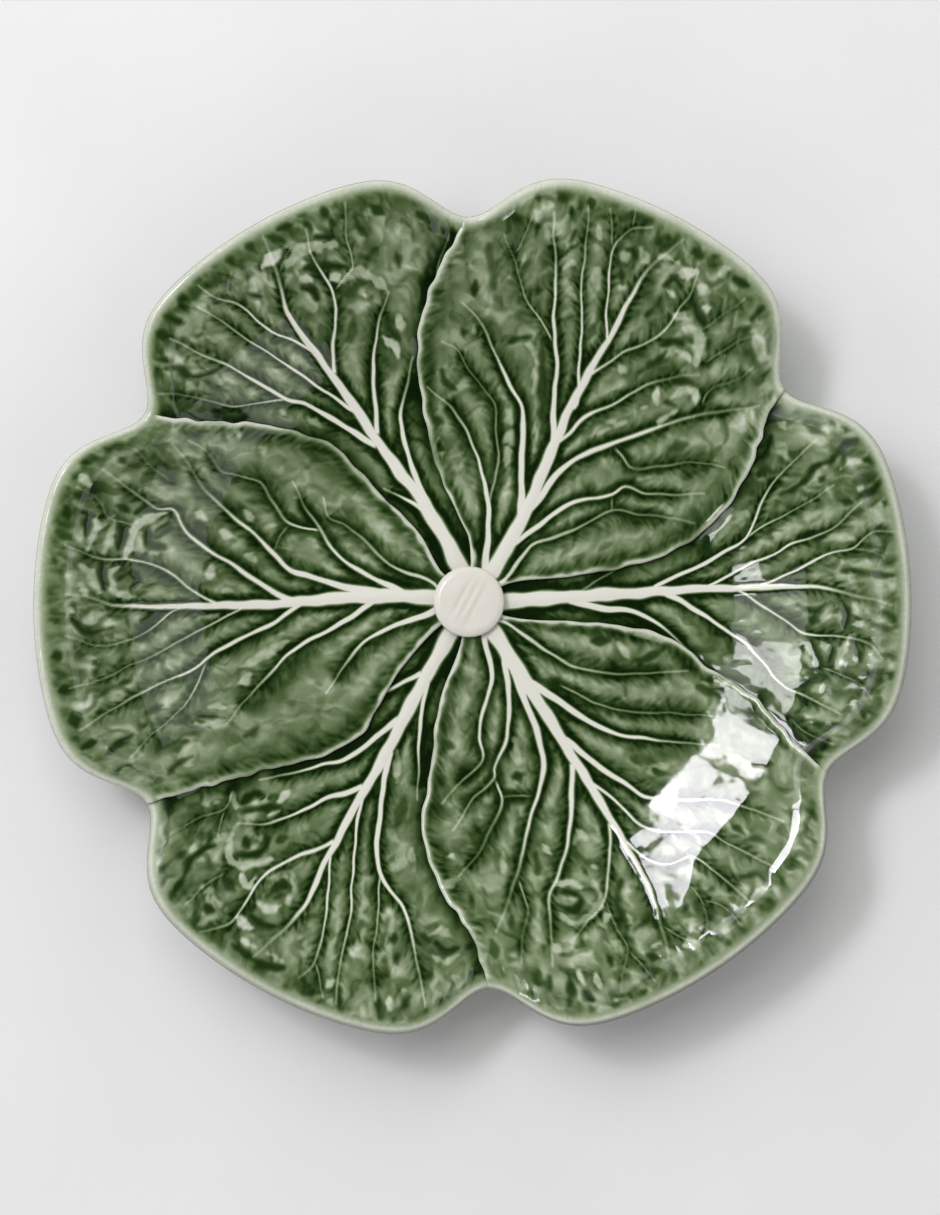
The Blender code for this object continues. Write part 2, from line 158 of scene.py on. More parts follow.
# Edge of an over leaf: how round and how raised it is, and how the pale worn glaze lies along it
EDGE_ROUND = 1.1
EDGE_ROUND_SHARE = 0.96
EDGE_BEAD = 0.1
EDGE_WIDTH = (0.9, 0.2, 18, 60)
EDGE_FULL = 0.5
EDGE_FADE = 1.1
EDGE_THIN = 0.91
EDGE_TOOTH = 0.9
EDGE_TOOTH_GRAIN = (4.5, 98)
EDGE_TOOTH_RADII = (75, 35)
EDGE_WEAR = (0.98, 0.45)
LEAST_WEAR = 0.6
EDGE_WEAR_GRAIN = (19.0, 97)
FULL_WEAR_RADII = (60, 35)
DRY_EDGE = 1.3
DRY_EDGE_RADII = (70, 40)
# Distances from the lap over which the dents and the veins come up
EDGE_DENTS = (0, 2.5)
EDGE_VEINS = (0, 2.0)

# Hollow of an under leaf beside the lap: its width, how it fades, its depth and its pooled glaze
TUCK_WIDTH = 1.6
TUCK_FADE = (2.6, 1.5)
TUCK_INSETS = (2.0, 8.0)
TUCK_DEPTH = 0.3
TUCK_POOL = 0.5
TUCK_DENTS = (0, 4.0)

# Veins: half-width at base and tip and its taper, paleness of base and tip and the shares of the
# length it fades between, depth of the pool beside, and length of the barbs
MIDRIB = dict(widths=(2.75, 0.36), taper=1.05, pale=(1.0, 0.45), fade=(0.8, 0.96), pool=1.0, barb=1.2)
STRONG_VEIN = dict(widths=(1.7, 0.36), taper=1.55, pale=(1.0, 0.62), fade=(0.6, 1.0), pool=0.8, barb=1.0)
SIDE_VEIN = dict(widths=(1.15, 0.34), taper=1.5, pale=(1.0, 0.6), fade=(0.5, 1.0), pool=0.6, barb=0.9)
BRANCH_VEIN = dict(widths=(0.7, 0.32), taper=1.3, pale=(0.92, 0.56), fade=(0.1, 0.95), pool=0.4, barb=0.7)
FINE_VEIN = dict(widths=(0.5, 0.3), taper=1.0, pale=(0.72, 0.54), fade=(0.0, 1.0), pool=0.3, barb=0.5)
LAP_EDGE = dict(widths=(0.8, 0.8), taper=1.0, pale=(0.0, 0.0), fade=(0.0, 1.0), pool=0.0, barb=1.7)
# A vein stands proud by a share of its half-width to a power: thin ones lie almost under the glaze
VEIN_PROUD = (0.085, 1.8)
FAR_FLATTENING = (1.0, -0.75, 62, 85)
CROWN_SHARPNESS = 1.4
CROWN_EASE = 0.15
# Share of its width that a vein has at its root, less the farther out that is, down to a least share
ROOT_SLIMMING = (1.12, 125.0, 0.45)
# Gap to the midrib that a vein is led back over, how far back along it, and where the vein is full
ROOT_GAP = (1.0, 6.0)
ROOT_BACK = 1.5
SPROUT = 2.5
PATH_STEP = 1.2
VEIN_MARGIN = 16.0
VEIN_WAVER = 0.4
VEIN_WAVER_GRAINS = ((7.0, 11), (7.0, 12))
VEIN_SWELLING = 0.22
VEIN_SWELLING_GRAIN = (8.0, 13)
VEIN_SOFTNESS = (0.22, 0.16)
VEIN_INNER_SOFTNESS = 1.2
VEIN_TIP = (1.0, 0.85)
VEIN_BED = 1.8
BED_DEPTH = 0.06

# Barbs that feather the veins, and the dark spikes that stand on their edges
BARB_SIZE = 1.8
BARB_LENGTH = 3.0
BARB_LEAN = 0.85
BARB_GRAIN = (BARB_SIZE, 80)
BARB_JITTER = 0.8
BARB_JITTER_GRAIN = (6.0, 1)
# Shifts along the grain that give each vein and each of its sides a draw of its own
VEIN_SHIFT = 37
SIDE_SHIFT = 11
BARB_WEIGHT = (1.8, 0.1)
BARB_REACH = (6.0, 1.0)
BARB_SHADE = 0.1
SPIKE_SPACING = 2.7
SPIKE_LENGTHS = (0.2, 3.2)
SPIKE_SEED = 200
SPIKE_DRAWS = 256
SPIKE_SIDE_SHIFT = (0.37, 64)
SPIKE_BLUR = (0.3, 0.1)
SPIKE_DEPTH = (0.08, 0.16, 50, 85)

# Dark pool beside a vein: how far it spreads, its fringe of barbs, how deep and how patchy it is
POOL_SPREAD = (0.5, 0.4, 3.2)
POOL_SPREAD_RADIUS = 26
POOL_FRINGE = 1.5
POOL_FRINGE_LIMITS = (-0.4, 1.0)
POOL_SHARE = (0.3, 0.7)
POOL_FADING = (1.0, -0.35, 45, 95)
POOL_PATCHES = (0.75, 0.75)
POOL_PATCH_LIMITS = (0.25, 1.1)
POOL_PATCH_GRAIN = (13.0, 21)
POOL_PATCH_SHIFTS = (53, 19)
POOL_EDGES = (1.6, 0.5, 0.35)
POOL_DEPTH = (0.31, 0.05, 50, 80)

# Ridge of the blade between two veins, flat where they lie close together
NARROW_GAP = (1.5, 7.5)
RIDGE_MIDDLE = (0.15, 0.9)
RIDGE_BARBS = 0.25
RIDGE_FADING = (1.0, -0.5, 60, 110)
RIDGE_SHADE = 0.4

# Puckers of the blade, as stretch along the leaf, size and seed, and the drift that bends them
BLOTCHES = (0.7, 5.5, 5)
CRUMBS = (0.7, 2.4, 25)
PITS = (0.5, 3.2, 35)
FOLDS = (0.75, 7.0, 45)
PIT_EDGE = (0.25, 0.55)
FOLD_CREST = (0.8, 0.45, 0.3, 0.1)
FOLD_CREASE = (0.3, 0.04)
LIVELY_GRAIN = (10.0, 55)
LIVELY_EDGE = (-0.15, 0.35)
PUCKER_REACH = 0.7
PUCKER_DRIFTS = (2.4, 1.4)
DRIFT_GRAINS_AHEAD = ((11.0, 3), (4.2, 14))
DRIFT_GRAINS_SIDEWAYS = ((11.0, 4), (4.2, 15))
BLOTCH_CRISPNESS = 1.8
BLOTCH_SHADE = (0.08, 0.05, 80, 105)
BLOTCH_HEIGHT = 0.03
CRUMB_SHADE = 0.1
PIT_SHADE = (0.12, 0.04, 80, 105)
FOLD_SHADE = (0.06, 0.08, 80, 105)

# Pressed strokes, pale lumps and dark hollows: their fading edges, taper and waver
LUMP_FADE = 0.7
HOLLOW_FADE = 0.9
STROKE_SLOPE = 1.5
STROKE_TAPER = 0.55
STROKE_WAVER = 0.8
STROKE_GRAIN = (3.5, 9)
LUMP_THIN = 0.86
LUMP_CRUMBS = 0.08
LUMP_HEIGHT = 0.08
HOLLOW_THIN = 0.14
HOLLOW_DEPTH = 0.05
# How crumbs and blotches break a lump up, and how strong a lump is that stays whole
RAGGED_EDGE = (-0.6, 0.1)
RAGGED_BLOTCHES = 0.3
WHOLE_LUMP = (0.55, 0.8)
# Glaze pooled round the lumps, as how far it reaches and how dark it is
LUMP_POOL = (2.2, 0.3)

# How thin the glaze lies on the plain blade, as radius and thinness, and where the blade begins
GROUND = [(14, 0.55), (36, 0.55), (50, 0.475), (72, 0.485), (98, 0.56), (135, 0.56)]
BLADE_INSETS = (1.8, 3.4)
BLADE_RADII = (5, 16)
BLADE_LIMITS = (0.02, 0.9)
# Pools round the stem, painted shade inside the rim on the side away from the light, as how dark, where and
# how wide, and dashes inside the rim
STEM_POOL = (0.1, 8, 20)
RIM_SHADE = (0.15, 6.0, 2.6)
# Bearing where the wall inside the rim faces away from the light, and its painted shade is darkest
RIM_SHADE_BEARING = 145
RIM_DASHES = (0.2, 7.0, 3.0)
DASH_GRAIN = (2.6, 40)
DASH_STRETCH = 0.4
DASH_CRUMBS = 0.8
DASH_BLOTCHES = 0.5
DASH_CONTRAST = 1.6

# Lip: plain glaze, then thin glaze towards the rim, and a last dark line of painted shade on its very edge,
# as thinness and insets
LIP_PLAIN = (0.5, 4.6, 2.6)
LIP_THIN = (0.905, 5.3, 1.4)
LIP_LINE = (0.3, 0.4, 0.1)
LIP_VEINS = (1.0, 6.0)
LIP_RELIEF = (0.5, 6.0)
# The lip greyed a little all round, and painted shade along its outer edge on the side away from the light
LIP_GREYING = (0.1, 4.2, 1.6)
LIP_EDGE_SHADE = (0.95, 2.1, 0.4)
LIP_LIGHT_BEARING = 120
LIP_EDGE_SHADE_POWER = 1.5

# Underside: thinness of its glaze, how uneven it is, and how much thinner it is at the rim
UNDERSIDE_THIN = 0.36
UNDERSIDE_UNEVENNESS = 0.1
UNDERSIDE_GRAIN = (15.0, 50)
UNDERSIDE_RIM = (0.4, 4, 0.5)

# Stem button, with its slanting knife grooves as place and half-length
STEM_RADIUS = 10.9
STEM_SHANK_RADIUS = 7.2
STEM_TOP = 13.5
STEM_DOME = 0.45
STEM_EDGE_ROUND = 2.6
STEM_EDGE_DROP = 1.9
STEM_EDGE_TURNS = (8, 90, 10)
STEM_GAP = 0.45
STEM_SINK = 0.1
STEM_SIDES = 180
STEM_RINGS = 36
FIRST_RING = 0.3
AXIS_GAP = 0.02
STEM_CUT = (1.2, 0.7)
STEM_CUT_DEPTH = 0.12
STEM_CUT_GRAIN = (5.0, 60)
STEM_GROOVE_BEARING = 62
STEM_GROOVES = [(-2.8, 8.5), (-0.3, 10.5), (2.2, 9.5)]
GROOVE_WIDTH = 0.8
GROOVE_DEPTH = 0.2
GROOVE_ENDS = (1.0, 0.2)
# Painted shade in the grooves and down the button's sides, as how much darker
GROOVE_SHADE = 0.32
STEM_SIDE_SHADE = 0.1
STEM_UNDER = (2.0, 0.6)

# Foot ring, with its batter as how far in and at which share of its height, and its line of glaze
FOOT_OUTER_RADIUS = 67.9
FOOT_INNER_RADIUS = 62.6
FOOT_CLEARANCE = 0.35
FOOT_SIDES = 240
FOOT_TAPER = 0.55
FOOT_BATTER = (0.3, 0.6)
TREAD_ROUND = 1.1
TREAD_TURNS = np.radians(np.linspace(0, 90, 7))
GLAZE_LINE = 1.5
GLAZE_LINE_WAVER = 0.35
GLAZE_LINE_GRAIN = (9.0, 70)
GLAZE_LINE_BLUR = 0.15

# Glaze from its deepest pool to the bare cream body, as seen in daylight
GLAZE_STOPS = [
    (0.00, (9, 27, 4)),
    (0.20, (35, 56, 21)),
    (0.35, (59, 80, 42)),
    (0.50, (87, 105, 68)),
    (0.65, (119, 135, 100)),
    (0.80, (162, 174, 145)),
    (0.90, (204, 208, 192)),
    (0.97, (230, 228, 219)),
]
CREAM = (228, 224, 215)
# Cream in shade, painted into the stem's grooves and down its sides
CREAM_SHADE = (205, 198, 184)
# Dark grey-green mixed into the lip: a little all round, and as painted shade along its outer edge away from
# the light
DARK_LIP_TONE = (97, 100, 87)
UNDERSIDE_GREEN = (78, 100, 60)
BARE_CLAY = (214, 199, 176)
CLAY_SPECKLE = (196, 178, 152)
FOOT_GREENS = ((52, 80, 44), (108, 128, 88))
FLOOR_TONES = ((230, 230, 231), (241, 241, 241))
GLAZE_IOR = 1.62
CLAY_IOR = 1.5
GLAZE_UNEVENNESS = 0.1
CREAM_UNEVENNESS = 0.2
# Roughness of the plain glaze, what its clouds add, and what dry glaze adds
GLAZE_ROUGHNESS = (0.03, 0.04, 0.36)
CREAM_ROUGHNESS = (0.10, 0.08)
CLAY_ROUGHNESS = 0.7
CLAY_GLOSS = 0.62
FLOOR_ROUGHNESS = 0.6

# View: straight down, framed as the photograph is
PHOTO_HEIGHT_MM = 364.5
VIEW_HEIGHT = 1.012
LENS = 100.0
VIEW_SHIFT = (0.35, -1.75)

# Plain room in metres: a pale floor, and a glow that is pale low down and dim overhead
FLOOR_SIZE = 2.5
ROOM_GLOW = [(0.0, 1.0), (0.5, 0.9), (0.72, 0.02)]
ROOM_SEEN = 0.86
PANEL_DISTANCE = 2.5
PANEL_TARGET = Vector((0, 0, 0.02))
# Daylight through the panes, a shade cooler than the room, and the warmer lamp that evens it out
WINDOW_TINT = (1.0, 0.965, 1.05)
SOFTBOX_TINT = (1.0, 1.02, 0.972)
# Soft lights, by the angles that they fill as seen from the dish
PANELS = [
    dict(name="window_left", azimuth=141.4, elevation=54.2, wide=8.2, high=9.2, radiance=13.5,
         tint=WINDOW_TINT),
    dict(name="window_end", azimuth=133.9, elevation=54.2, wide=3.6, high=9.2, radiance=12.5,
         lean=-27.0, tint=WINDOW_TINT),
    dict(name="window_tail", azimuth=126.2, elevation=51.2, wide=3.7, high=3.5, radiance=12.0,
         tint=WINDOW_TINT),
    dict(name="window_right", azimuth=155.4, elevation=53.2, wide=6.2, high=9.0, radiance=12.0,
         tint=WINDOW_TINT),
    dict(name="window_glow", azimuth=141.0, elevation=54.5, wide=10.0, high=10.0, radiance=8.0,
         mirrored=False),
    dict(name="side_window", azimuth=167.0, elevation=54.0, wide=5.6, high=9.6, radiance=8.0),
    dict(name="side_curtain", azimuth=178.0, elevation=55.0, wide=8.4, high=10.8, radiance=1.7),
    dict(name="side_gleam", azimuth=185.2, elevation=56.8, wide=2.4, high=6.5, radiance=7.5),
    dict(name="far_wall_0", azimuth=-45.0, elevation=55.0, wide=16.6, high=10.8, radiance=0.9),
    dict(name="far_wall_1", azimuth=-15.0, elevation=55.0, wide=16.6, high=10.8, radiance=0.9),
    dict(name="far_wall_2", azimuth=15.0, elevation=55.0, wide=16.6, high=10.8, radiance=0.9),
    dict(name="softbox", azimuth=112.0, elevation=60.0, wide=40.0, high=40.0, radiance=2.5,
         mirrored=False, tint=SOFTBOX_TINT),
]

# Leaves: veins as points in plan, the midrib first, then the pale lumps and the dark hollows of the
# puckered blade, each with its half-width and strength
UNDER_LEAF_1 = dict(
    veins=[
        (MIDRIB, [(9, 0), (31, 1.5), (51, 2.7), (70, 3.9), (90, 4.2), (106, 4.3), (118, 1.5), (127, -1)]),
        (FINE_VEIN, [(37, 5), (45, 10)]),
        (SIDE_VEIN, [(58, 5), (66, 9), (74, 13), (84, 19), (87, 24), (90, 32), (94, 38), (105, 49)]),
        (BRANCH_VEIN, [(84, 19), (90, 23), (97, 27), (103, 30), (110, 35)]),
        (SIDE_VEIN, [(76, 6), (83, 10), (90, 13), (97, 17), (105, 20), (111, 23), (118, 30)]),
        (SIDE_VEIN, [(87, 4.4), (92, 6), (98, 9), (110, 15), (116, 16), (119, 19), (122, 21), (128, 21)]),
        (FINE_VEIN, [(115, 16), (121, 15), (125, 13)]),
        (STRONG_VEIN, [(29, 1), (41, -2), (51, -3), (57, -6), (63, -11), (70, -17)]),
        (STRONG_VEIN, [(62, 2), (68, -1.5), (74, -5.5), (86, -14), (90, -19), (96, -26), (101, -28),
                       (112, -34)]),
        (SIDE_VEIN, [(83, 3), (88, 0), (98, -7), (102, -9.5), (114, -11), (121, -13), (124, -17)]),
        (FINE_VEIN, [(97, -35), (101, -39), (110, -43)]),
        (FINE_VEIN, [(106, -20), (111, -21.5), (118, -25), (121, -29)]),
    ],
    lumps=[
        (1.5, 1.0, [(95, 54), (94, 53)]),
        (0.9, 0.9, [(112, 40), (114, 42.5), (118, 42)]),
        (1.1, 1.0, [(118, 34.5), (117.5, 33.5)]),
        (1.1, 0.7, [(107, 18.5), (111, 19.5), (116, 19)]),
        (1.2, 0.6, [(86, 45), (89, 48), (91, 50)]),
        (1.8, 0.5, [(94, 48), (96, 44)]),
        (1.8, 0.5, [(87, 40), (90, 37)]),
        (2.8, 0.4, [(76, 18), (78, 25), (84, 27)]),
        (1.4, 0.5, [(96, 33), (104, 38), (108, 41)]),
        (1.4, 0.4, [(99, 25), (106, 27)]),
        (1.4, 0.9, [(115, -10), (113, -14), (111, -20)]),
        (1.2, 0.8, [(116, -1), (117, -4)]),
        (1.1, 0.8, [(116, -7), (119, -6)]),
        (1.2, 0.9, [(102, -14), (104, -21)]),
        (1.3, 0.8, [(107, -12), (108, -15)]),
        (1.4, 0.7, [(112, -3), (112, -6)]),
        (1.3, 0.7, [(107, -5), (110, -2)]),
        (1.7, 0.5, [(98, -22), (102, -23)]),
        (1.4, 0.5, [(104, -27), (106, -25)]),
        (1.4, 0.7, [(79, -17.5), (86, -17.5)]),
        (1.8, 0.4, [(115, 12), (121, 11)]),
        (1.5, 0.4, [(108, 6.5), (115, 6.5)]),
        (1.3, 0.5, [(127, 4), (127, 8)]),
    ],
    hollows=[
        (1.3, 1.0, [(113, 52.5), (114.5, 52)]),
        (1.1, 1.0, [(109, 42), (113, 47), (117, 49)]),
        (0.9, 1.0, [(95, 32.5), (101, 36), (105, 41), (110, 42.5)]),
        (0.9, 0.9, [(91.5, 50), (90, 45), (87, 43)]),
        (0.9, 0.9, [(119, 42.5), (124, 42)]),
        (0.8, 0.7, [(113, 44), (112.5, 41)]),
        (1.0, 0.8, [(107, 37.5), (106.5, 36.5)]),
        (1.2, 1.0, [(117, 31), (122, 34), (125, 38)]),
        (1.1, 0.9, [(112, 30.5), (115, 30)]),
        (1.4, 0.9, [(125.5, 30), (125, 29)]),
        (1.2, 0.9, [(74, 20), (73, 16), (74, 14)]),
        (0.8, 0.9, [(113, 9.5), (117, 9), (122, 8), (127, 8)]),
        (1.3, 1.0, [(113, 0), (114, -4), (113.5, -8)]),
        (0.8, 0.9, [(100, -1), (105, -3), (108, -0.5)]),
        (0.8, 0.8, [(105, -3), (104, -7)]),
        (1.3, 1.0, [(110, -14), (109, -18)]),
        (1.0, 0.8, [(104, -12), (106, -17), (107, -20)]),
        (1.2, 0.9, [(99, -26), (105, -23)]),
        (0.8, 0.8, [(117, -13), (118, -18)]),
        (0.9, 0.9, [(119, -22.5), (122, -21)]),
        (1.2, 0.9, [(127.5, -22), (127, -23)]),
        (1.0, 0.9, [(117, -31), (119, -35)]),
        (1.2, 0.6, [(119, -37), (124, -34.5)]),
        (0.7, 0.7, [(104, -37), (112, -37)]),
        (0.9, 0.6, [(121, -7), (127, -8)]),
        (1.8, 0.6, [(102, 54), (106, 51)]),
        (1.8, 0.5, [(116, 36), (123, 38)]),
    ],
)

OVER_LEAF_1 = dict(
    veins=[
        (MIDRIB, [(4, 7), (7, 9), (18.7, 30.6), (32.4, 62.3), (44.6, 83.2), (49.6, 93.2), (55.5, 101.3),
                  (65, 109)]),
        (SIDE_VEIN, [(5, 10), (6, 30), (2, 46), (-4, 58), (-9, 63), (-13, 66)]),
        (FINE_VEIN, [(6, 29), (9, 44), (8.5, 52), (8, 60), (5, 65), (0, 71), (-3.5, 77), (-8, 79.5)]),
        (STRONG_VEIN, [(16, 28), (16.5, 52), (16, 60), (13, 66), (8, 76), (5, 83), (2, 87), (-2, 91)]),
        (STRONG_VEIN, [(26, 46), (26, 60), (27, 70), (26, 87), (26.5, 103), (25.5, 110), (25.5, 117)]),
        (BRANCH_VEIN, [(26, 79), (22, 86), (17, 93), (14, 103), (10.5, 111)]),
        (FINE_VEIN, [(13.5, 105), (16, 108), (19, 116)]),
        (SIDE_VEIN, [(33, 60), (33.5, 70), (34.5, 86), (34, 95), (35.5, 108), (36, 119)]),
        (SIDE_VEIN, [(42, 78), (42, 90), (42.5, 100), (43.5, 106), (49, 112), (55, 112.5)]),
        (FINE_VEIN, [(43.5, 106), (43, 113), (42.5, 118)]),
        (FINE_VEIN, [(49, 112), (50, 118)]),
        (BRANCH_VEIN, [(10, 6), (19, 17), (28, 20.5), (36, 24), (44, 28), (52, 27), (60, 26), (69, 24)]),
        (SIDE_VEIN, [(17, 20), (29, 29), (36, 31.5), (44, 33), (48, 35.5), (53, 33.5), (61, 33), (72, 33)]),
        (FINE_VEIN, [(44, 33), (44, 28)]),
        (STRONG_VEIN, [(20, 30), (29, 41), (37, 46), (45, 49), (54, 52), (68, 56.5), (81, 58.5),
                       (88, 59.5)]),
        (BRANCH_VEIN, [(44, 48), (47, 45), (50, 41), (58, 41.5), (70, 42.5), (78, 41)]),
        (SIDE_VEIN, [(31, 52), (36, 57), (44, 60), (50, 64), (57, 67), (63, 68.5), (70, 69)]),
        (SIDE_VEIN, [(41, 72), (47, 76), (54, 79), (60, 83), (63, 88), (67, 93), (69, 99)]),
        (FINE_VEIN, [(70, 82), (74, 85), (79, 88), (83, 91)]),
        (FINE_VEIN, [(71, 72), (76, 75), (81, 78.5), (87, 80)]),
        (FINE_VEIN, [(71, 59), (72, 63), (75, 65.5), (82, 67.5), (86, 71)]),
    ],
    lumps=[
        (1.8, 0.8, [(65, 83), (70, 81), (70, 76), (69, 72)]),
        (1.8, 1.0, [(63, 98), (68, 99)]),
        (1.2, 1.0, [(60, 94), (62, 92)]),
        (1.3, 0.8, [(62, 87), (66, 86)]),
        (1.7, 0.7, [(69, 95), (72, 93)]),
        (1.2, 0.8, [(58, 104), (63, 102)]),
        (1.7, 0.7, [(46, 105), (49, 103)]),
        (1.7, 0.7, [(52, 106), (54, 102)]),
        (1.2, 0.8, [(39, 113), (39.5, 110)]),
        (1.6, 0.5, [(39, 101), (39, 95)]),
        (0.8, 0.7, [(28.5, 101), (31, 102.8), (33, 101)]),
        (0.8, 0.5, [(28.5, 96), (31, 98), (33, 96)]),
        (0.8, 0.5, [(28.5, 91.5), (31, 93.3), (33, 91.5)]),
        (0.8, 0.4, [(28.5, 87), (31, 88.6), (33, 87)]),
        (1.1, 1.0, [(63, 76), (66, 75), (67, 73)]),
        (1.4, 1.0, [(70, 88), (73, 88.5)]),
        (1.3, 1.0, [(62, 62), (65, 64), (69, 64), (69, 60)]),
        (1.3, 0.9, [(57.5, 65), (57, 61)]),
        (0.8, 0.9, [(53, 59.5), (55, 60)]),
        (1.2, 0.9, [(58, 55), (63, 58)]),
        (1.4, 0.7, [(46, 72), (48, 70)]),
        (1.2, 0.7, [(18, 79), (20.5, 76), (20.5, 70), (19.5, 64)]),
        (1.8, 0.6, [(12, 60), (12, 50), (12, 42)]),
        (1.4, 0.5, [(2, 84), (3, 82)]),
        (1.8, 0.6, [(-4, 65), (0, 68)]),
        (1.7, 0.6, [(-9, 44), (-9, 50)]),
        (1.2, 0.6, [(20.5, 55), (20, 46)]),
        (1.4, 0.6, [(38, 51), (43, 54), (48, 55)]),
        (1.6, 0.4, [(31, 113), (31, 107)]),
        (1.6, 0.4, [(75, 100), (79, 98)]),
        (1.6, 0.5, [(20, 118), (20.5, 115)]),
    ],
    hollows=[
        (1.1, 1.0, [(59, 95.5), (62, 97.5), (64, 95)]),
        (1.0, 0.9, [(54, 87), (57, 90), (58.5, 93)]),
        (1.6, 1.0, [(68, 90), (69, 87), (71.5, 84)]),
        (1.2, 0.9, [(59, 78), (62, 79), (65, 78)]),
        (1.2, 0.8, [(52, 70), (57, 73), (60, 76)]),
        (1.0, 0.9, [(60, 65), (63, 67), (68, 66.5)]),
        (0.9, 0.9, [(60, 61), (63, 60)]),
        (1.0, 0.9, [(46, 101), (46.5, 96)]),
        (0.8, 0.9, [(48, 106), (50, 105.5), (49.5, 101)]),
        (1.2, 1.0, [(31, 118), (31, 116)]),
        (0.9, 0.9, [(32, 111.5), (31, 109)]),
        (1.2, 0.9, [(21, 95.5), (21, 94)]),
        (0.8, 0.8, [(18, 103), (16, 101)]),
        (1.0, 0.9, [(2, 97), (1.5, 94)]),
        (1.2, 0.5, [(6, 108), (7, 101), (8, 95)]),
        (1.3, 0.9, [(-2, 83.5), (-1.5, 81)]),
        (1.0, 0.8, [(-8.5, 71), (-7, 67), (-4, 65)]),
        (1.3, 0.8, [(-12, 57), (-8, 55)]),
        (1.0, 0.9, [(11, 78.5), (15, 80.5), (19, 81)]),
        (1.2, 0.7, [(22.5, 80), (22.5, 66), (22.5, 52)]),
        (1.2, 1.0, [(74, 104), (77, 104.3)]),
        (1.3, 0.8, [(68, 106), (68, 104)]),
        (1.5, 0.9, [(80, 97), (84, 95)]),
        (1.1, 0.9, [(85, 85), (88, 88)]),
        (1.5, 0.8, [(13, 117), (16, 114)]),
        (1.1, 0.8, [(21, 122), (21, 121)]),
        (1.1, 0.8, [(28.5, 122), (28.5, 120.5)]),
        (1.2, 0.8, [(36.5, 121.5), (37, 118)]),
        (1.5, 0.6, [(46, 115), (50, 116), (55, 114.5)]),
        (1.0, 0.8, [(59, 109), (60.5, 109)]),
        (1.0, 0.8, [(72.5, 79), (72.5, 71)]),
        (1.9, 0.6, [(62, 47), (66, 48)]),
        (1.0, 0.6, [(80, 82), (84, 82.5)]),
        (1.4, 0.5, [(38, 84), (37, 81)]),
    ],
)

